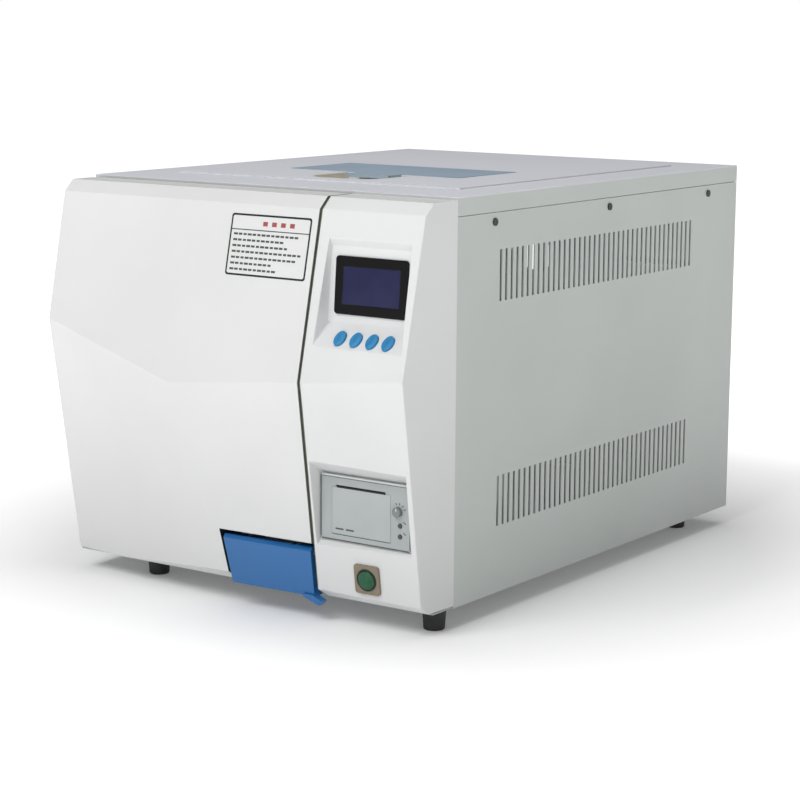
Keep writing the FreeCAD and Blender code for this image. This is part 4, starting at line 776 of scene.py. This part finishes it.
plate_middle = (plate_low[0] + plate_high[0]) / 2
plate_centre = (plate_low[2] + plate_high[2]) / 2
bm = bmesh.new()
bar(bm, plate_middle, plate_low[2] + 0.7 * MM, plate_wide - 3, 1.1, plate_face, 0.1)
bar(bm, plate_low[0] + 0.6 * MM, plate_centre, 1.0, plate_tall - 5, plate_face, 0.1)
bar(bm, plate_high[0] - 0.6 * MM, plate_centre, 0.8, plate_tall - 5, plate_face, 0.1)
bar(bm, plate_middle, plate_high[2] - 3.0 * MM, plate_wide - 3, 0.5, plate_face, 0.1)
piece(bm, "printer_shadow_lines", "cabinet", "dark_grey", smooth=False)
bm = bmesh.new()
bar(bm, plate_middle, plate_high[2] - 1.4 * MM, plate_wide - 4, 1.3, plate_face, 0.25)
piece(bm, "printer_top_ledge", "cabinet", "column_white", smooth=False)
print("plate mm:", round(plate_wide, 1), round(plate_tall, 1))

# %% [markdown]
# ## Paper flap
# The flap is a thin moulding with two wavy ridges to grip it by. Each ridge is a long narrow grid whose
# points follow a sine, turned upright and given a thickness.

# %% Flap with two moulded ridges
rounded("printer_flap", "printer_flap", "flap_grey", FRONT, 0.35, longer=8)
bm = bmesh.new()
for level, swing in ((0.42, 1.6), (0.24, 1.1)):
    made = bmesh.ops.create_grid(bm, x_segments=28, y_segments=1, size=0.5)["verts"]
    width = (flap_high[0] - flap_low[0]) - 6 * MM
    bmesh.ops.scale(bm, verts=made, vec=(width, 0.7 * MM, 1))
    for vert in made:
        vert.co.y += swing * MM * math.sin(vert.co.x / width * 2 * math.pi)
    bmesh.ops.rotate(bm, verts=made, cent=(0, 0, 0), matrix=Matrix.Rotation(math.radians(90), 3, "X"))
    bmesh.ops.translate(bm, verts=made, vec=(flap_middle, flap_low[1] + 0.05 * MM,
                                             flap_low[2] + (flap_high[2] - flap_low[2]) * level))
bmesh.ops.solidify(bm, geom=bm.faces, thickness=0.2 * MM)
bmesh.ops.recalc_face_normals(bm, faces=bm.faces)
piece(bm, "flap_ridges", "printer_flap", "flap_grey", smooth=False)
print("flap ridge mm:", round(width / MM, 1))

# %% [markdown]
# ## Knurled dial
# The dial is a small moulded wheel. A circle has every second point pulled in for the knurl, is
# extruded to its depth, and gets a raised rim and a dished face by two insets. A short shaft and a
# pale pointer finish it.

# %% Knurled dial
# Satin ABS in a middle grey: its knurl catches small highlights.
FINISH["dial_grey"] = moulded("abs_satin_mid_grey", "7d8280", "767b79", 0.34, patch_mm=20)
bm = bmesh.new()
teeth, groove = 28, 0.94  # the grooves lie at this share of the radius
bmesh.ops.create_circle(bm, cap_ends=True, segments=teeth * 2, radius=(dial_high[0] - dial_low[0]) / 2)
for i, vert in enumerate(bm.verts):
    if i % 2:
        bmesh.ops.scale(bm, verts=[vert], vec=(groove, groove, 1))
cap_depth = plate_face - dial_low[1] - 0.1 * MM
grown = bmesh.ops.extrude_face_region(bm, geom=list(bm.faces))
top = [v for v in grown["geom"] if isinstance(v, bmesh.types.BMVert)]
bmesh.ops.translate(bm, verts=top, vec=(0, 0, cap_depth))
crown = max(bm.faces, key=lambda f: f.calc_center_median().z)
bmesh.ops.inset_region(bm, faces=[crown], thickness=0.5 * MM)
bmesh.ops.translate(bm, verts=crown.verts, vec=(0, 0, 0.25 * MM))
bmesh.ops.inset_region(bm, faces=[crown], thickness=0.7 * MM)
bmesh.ops.translate(bm, verts=crown.verts, vec=(0, 0, -0.35 * MM))
bmesh.ops.recalc_face_normals(bm, faces=bm.faces)
shaft = bmesh.ops.create_cone(bm, cap_ends=True, segments=24, radius1=1.5 * MM, radius2=1.5 * MM,
                              depth=dial_high[1] - plate_face)["verts"]
bmesh.ops.translate(bm, verts=shaft, vec=(0, 0, -(dial_high[1] - plate_face) / 2 - 0.02 * MM))
bmesh.ops.rotate(bm, verts=bm.verts, cent=(0, 0, 0), matrix=Matrix.Rotation(math.radians(90), 3, "X"))
bmesh.ops.translate(bm, verts=bm.verts, vec=(dial_x, plate_face - 0.1 * MM, dial_z))
piece(bm, "dial_knurled", "printer_dial", "dark_grey", ["printer_dial"], creased=30,
      finish="dial_grey")
bm = bmesh.new()
bar(bm, dial_x, dial_z + 2.6 * MM, 0.7, 3.2, dial_low[1] + 0.05 * MM, 0.12)
piece(bm, "dial_pointer", "printer_dial", "paper", smooth=False)
print("dial radius mm:", round((dial_high[0] - dial_low[0]) / 2 / MM, 2))

# %% [markdown]
# ## Power switch
# A taupe square plate with rounded corners carries a round green cap inside a dark ring. The ring is
# a turned profile spun about the button's own axis; the cap is domed and sits a little proud.

# %% Power switch
press = Vector(joint_of["power_button_press"]["axis"]).normalized()
button_place = facing("power_button", -press)
bm = moved(merged("switch_plate"), button_place.inverted())
face_z = max(v.co.z for v in bm.verts)
near_side, past_hole = 13.5 * MM, 13 * MM  # from the button's axis, so that its round hole isn't taken
upright = [e for e in bm.edges if abs(e.verts[0].co.z - e.verts[1].co.z) > 0.6 * MM
           and all(min(abs(v.co.x), abs(v.co.y)) > near_side for v in e.verts)]
soften(bm, upright, 3.2, 7)
rim = [e for e in seen_edges(bm, 30, (0, 0, -1), 0.2)
       if all(abs(v.co.z - face_z) < 0.01 * MM and v.co.xy.length > past_hole for v in e.verts)]
soften(bm, rim, 0.6, 3)
piece(moved(bm, button_place), "switch_plate_framed", "cabinet", "switch_taupe", ["switch_plate"])

bm = moved(merged("power_button"), button_place.inverted())
cap_radius = max(v.co.xy.length for v in bm.verts)
domed(bm, 1.0, 4, ((1.6, 0.5), (2.0, 0.35), (2.2, 0.15)))
piece(moved(bm, button_place), "power_button_domed", "power_button", "lamp_green", ["power_button"],
      creased=60)

bm = bmesh.new()
ring_in, ring_out = cap_radius + 0.25 * MM, cap_radius + 1.7 * MM
profile = [(ring_in, face_z + 0.05 * MM), (ring_out, face_z + 0.05 * MM),
           (ring_out - 0.3 * MM, face_z + 0.9 * MM), (ring_in + 0.2 * MM, face_z + 0.7 * MM)]
corners = [bm.verts.new((x, 0, z)) for x, z in profile]
loop = [bm.edges.new((corners[i], corners[(i + 1) % 4])) for i in range(4)]
bmesh.ops.spin(bm, geom=corners + loop, cent=(0, 0, 0), axis=(0, 0, 1), angle=math.tau, steps=48,
               use_merge=True)
bmesh.ops.remove_doubles(bm, verts=bm.verts, dist=0.005 * MM)
bmesh.ops.recalc_face_normals(bm, faces=bm.faces)
piece(moved(bm, button_place), "button_ring", "cabinet", "black_plastic", creased=40)
print("cap radius mm:", round(cap_radius / MM, 2))

# %% [markdown]
# ## Instruction label
# A film label sits on the upper part of the door. Its words are left out: a blank outline, a plain
# row of coloured blocks and rows of dashes keep the look without any lettering.

# %% Label
label_place = surface("door_cover", 50.75 * MM, FOOT + 360 * MM)
LABEL_WIDE, LABEL_TALL = 102.9, 63.5
ROW_START, ROW_TOP, ROW_PITCH, DASH_PITCH = -46, 10.8, 6.0, 6
INK_LEVEL, INK_THICK = 0.18, 0.05


def inked(bm, x, y, width, height):
    """Adds a printed mark lying on the label's film, sizes in millimetres."""
    made = bmesh.ops.create_cube(bm, size=1)["verts"]
    bmesh.ops.scale(bm, verts=made, vec=(width * MM, height * MM, INK_THICK * MM))
    bmesh.ops.translate(bm, verts=made, vec=(x * MM, y * MM, (INK_LEVEL + INK_THICK / 2) * MM))


# Screen printed ink on film: a flat dull red.
FINISH["label_heading"] = moulded("printed_ink_red", "a04e4b", "984845", 0.45, patch_mm=8)
piece(moved(plate(LABEL_WIDE, LABEL_TALL, 0.12, 3.0, 0), label_place), "label_border", "door",
      "black_plastic", smooth=False)
film = plate(LABEL_WIDE - 4.0, LABEL_TALL - 4.0, INK_LEVEL, 2.0, 0)
piece(moved(film, label_place), "label_film", "door", "cover_white", smooth=False)
bm = bmesh.new()
inked(bm, 0, 15.5, LABEL_WIDE - 3.0, 1.1)
for row, length in enumerate((86, 66, 72, 90, 84, 58, 64)):
    for dash in range(int(length / DASH_PITCH)):
        inked(bm, ROW_START + 2.4 + dash * DASH_PITCH, ROW_TOP - row * ROW_PITCH, 5.2 - dash % 3 * 0.6, 2.2)
piece(moved(bm, label_place), "label_rows", "door", "dark_grey", smooth=False)
bm = bmesh.new()
for i in range(4):
    inked(bm, -7 + i * 11.5, 22.4, 6, 4.6)
piece(moved(bm, label_place), "label_heading", "door", "paper", smooth=False, finish="label_heading")
print("label at", [round(c, 3) for c in label_place.translation])

# %% [markdown]
# ## Screw heads
# The case screws are blackened pan heads. A cross recess is what the eye expects, and its shade is
# painted as two dark bars just proud of each head.

# %% Screw recess shade
SCREW_GAP = 40 * MM  # heads further apart than this along the side are separate screws
bm = bmesh.new()
screws = bmesh.new()
screws.from_mesh(nodes["case_screws"].data)
bmesh.ops.remove_doubles(screws, verts=screws.verts, dist=0.002 * MM)
reach = max(abs(v.co.x) for v in screws.verts)
depths = sorted({round(v.co.y, 4) for v in screws.verts if abs(abs(v.co.x) - reach) < 0.02 * MM})
screw_rows = [depths[0]]
for y in depths:
    if y - screw_rows[-1] > SCREW_GAP:
        screw_rows.append(y)
heads = {}
for vert in screws.verts:
    if abs(abs(vert.co.x) - reach) < 0.02 * MM:
        key = (vert.co.x > 0, min(screw_rows, key=lambda y: abs(y - vert.co.y)))
        heads.setdefault(key, []).append(vert.co.copy())
screws.free()
for points in heads.values():
    middle = sum(points, Vector()) / len(points)
    for wide, tall in ((0.9, 4.2), (4.2, 0.9)):
        made = bmesh.ops.create_cube(bm, size=1)["verts"]
        bmesh.ops.scale(bm, verts=made, vec=(0.12 * MM, wide * MM, tall * MM))
        bmesh.ops.translate(bm, verts=made, vec=middle)
# Two dark bars on each head: painted shade of the cross recess.
piece(bm, "screw_recess_painted_shade", "cabinet", "black_plastic", smooth=False)
print("screw heads:", len(heads))

# %% [markdown]
# ## Floor, light and camera
# A pale floor runs under the machine and out to the horizon. From about a metre out it glows nearly
# white, so that it meets the white background with no line. Close to the machine only a tenth of that
# is left, so that shadows show. The background is white to the camera and dim as a light. A large soft
# key light stands in front, high and a little to the left, a weaker one fills the right side, and a
# third hangs over the top. A long lens keeps the verticals nearly parallel.

# %% Floor
FLOOR_HALF = 60  # metres
floor_bm = bmesh.new()
bmesh.ops.create_grid(floor_bm, x_segments=1, y_segments=1, size=FLOOR_HALF)
floor_mesh = bpy.data.meshes.new("floor")
floor_bm.to_mesh(floor_mesh)
floor_bm.free()
floor = bpy.data.objects.new("floor", floor_mesh)
bpy.context.scene.collection.objects.link(floor)
made, tree, shader, place = begin("studio_floor")
shader.inputs["Base Color"].default_value = linear("f6f6f6")
shader.inputs["Roughness"].default_value = 0.9
shader.inputs["Emission Color"].default_value = (1, 1, 1, 1)
distance = add(tree, "ShaderNodeVectorMath", {"operation": "LENGTH"})
tree.links.new(place, distance.inputs[0])
fade = add(tree, "ShaderNodeMapRange", {"From Min": 0.4, "From Max": 1.1, "To Min": 0.1, "To Max": 0.95},
           Value=distance.outputs["Value"])
tree.links.new(fade.outputs["Result"], shader.inputs["Emission Strength"])
floor_mesh.materials.append(made)
print("floor reaches", FLOOR_HALF, "m each way")

# %% Background and lights
world = bpy.data.worlds.new("studio")
bpy.context.scene.world = world
world.use_nodes = True
background = world.node_tree.nodes["Background"]
background.inputs["Color"].default_value = (1, 1, 1, 1)
rays = add(world.node_tree, "ShaderNodeLightPath")
seen = add(world.node_tree, "ShaderNodeMapRange", {"To Min": 0.15, "To Max": 1.0},
           Value=rays.outputs["Is Camera Ray"])
world.node_tree.links.new(seen.outputs["Result"], background.inputs["Strength"])


def softbox(name, place, target, side, power):
    """A large square light aimed at a point, its side in metres and its power in watts."""
    data = bpy.data.lights.new(name, "AREA")
    data.shape = "SQUARE"
    data.size = side
    data.energy = power
    obj = bpy.data.objects.new(name, data)
    bpy.context.scene.collection.objects.link(obj)
    aim = (Vector(target) - Vector(place)).to_track_quat("-Z", "Y")
    obj.matrix_world = Matrix.Translation(place) @ aim.to_matrix().to_4x4()


softbox("key", (-0.3, -2.6, 2.9), (0, -0.2, 0.2), 1.8, 68)
softbox("side_fill", (2.6, -2.6, 1.6), (0, -0.2, 0.25), 1.8, 14)
softbox("top", (0.2, 0.2, 2.8), (0, 0, 0.3), 2.4, 27)
print("lights:", len(bpy.data.lights))

# %% Camera
CAMERA_PLACE = (1.462, -2.0925, 0.621)
YAW, PITCH, ROLL = (math.radians(angle) for angle in (35.15, 9.92, 0.41))
camera_data = bpy.data.cameras.new("camera")
camera_data.lens = 101.0
camera_data.sensor_width = 36
camera = bpy.data.objects.new("camera", camera_data)
bpy.context.scene.collection.objects.link(camera)
turn = Matrix.Rotation(YAW, 4, "Z") @ Matrix.Rotation(math.pi / 2 - PITCH, 4, "X")
turn = turn @ Matrix.Rotation(ROLL, 4, "Z")
camera.matrix_world = Matrix.Translation(CAMERA_PLACE) @ turn
bpy.context.scene.camera = camera
bpy.context.scene.view_settings.view_transform = "Standard"
print("camera at", [round(c, 3) for c in CAMERA_PLACE])
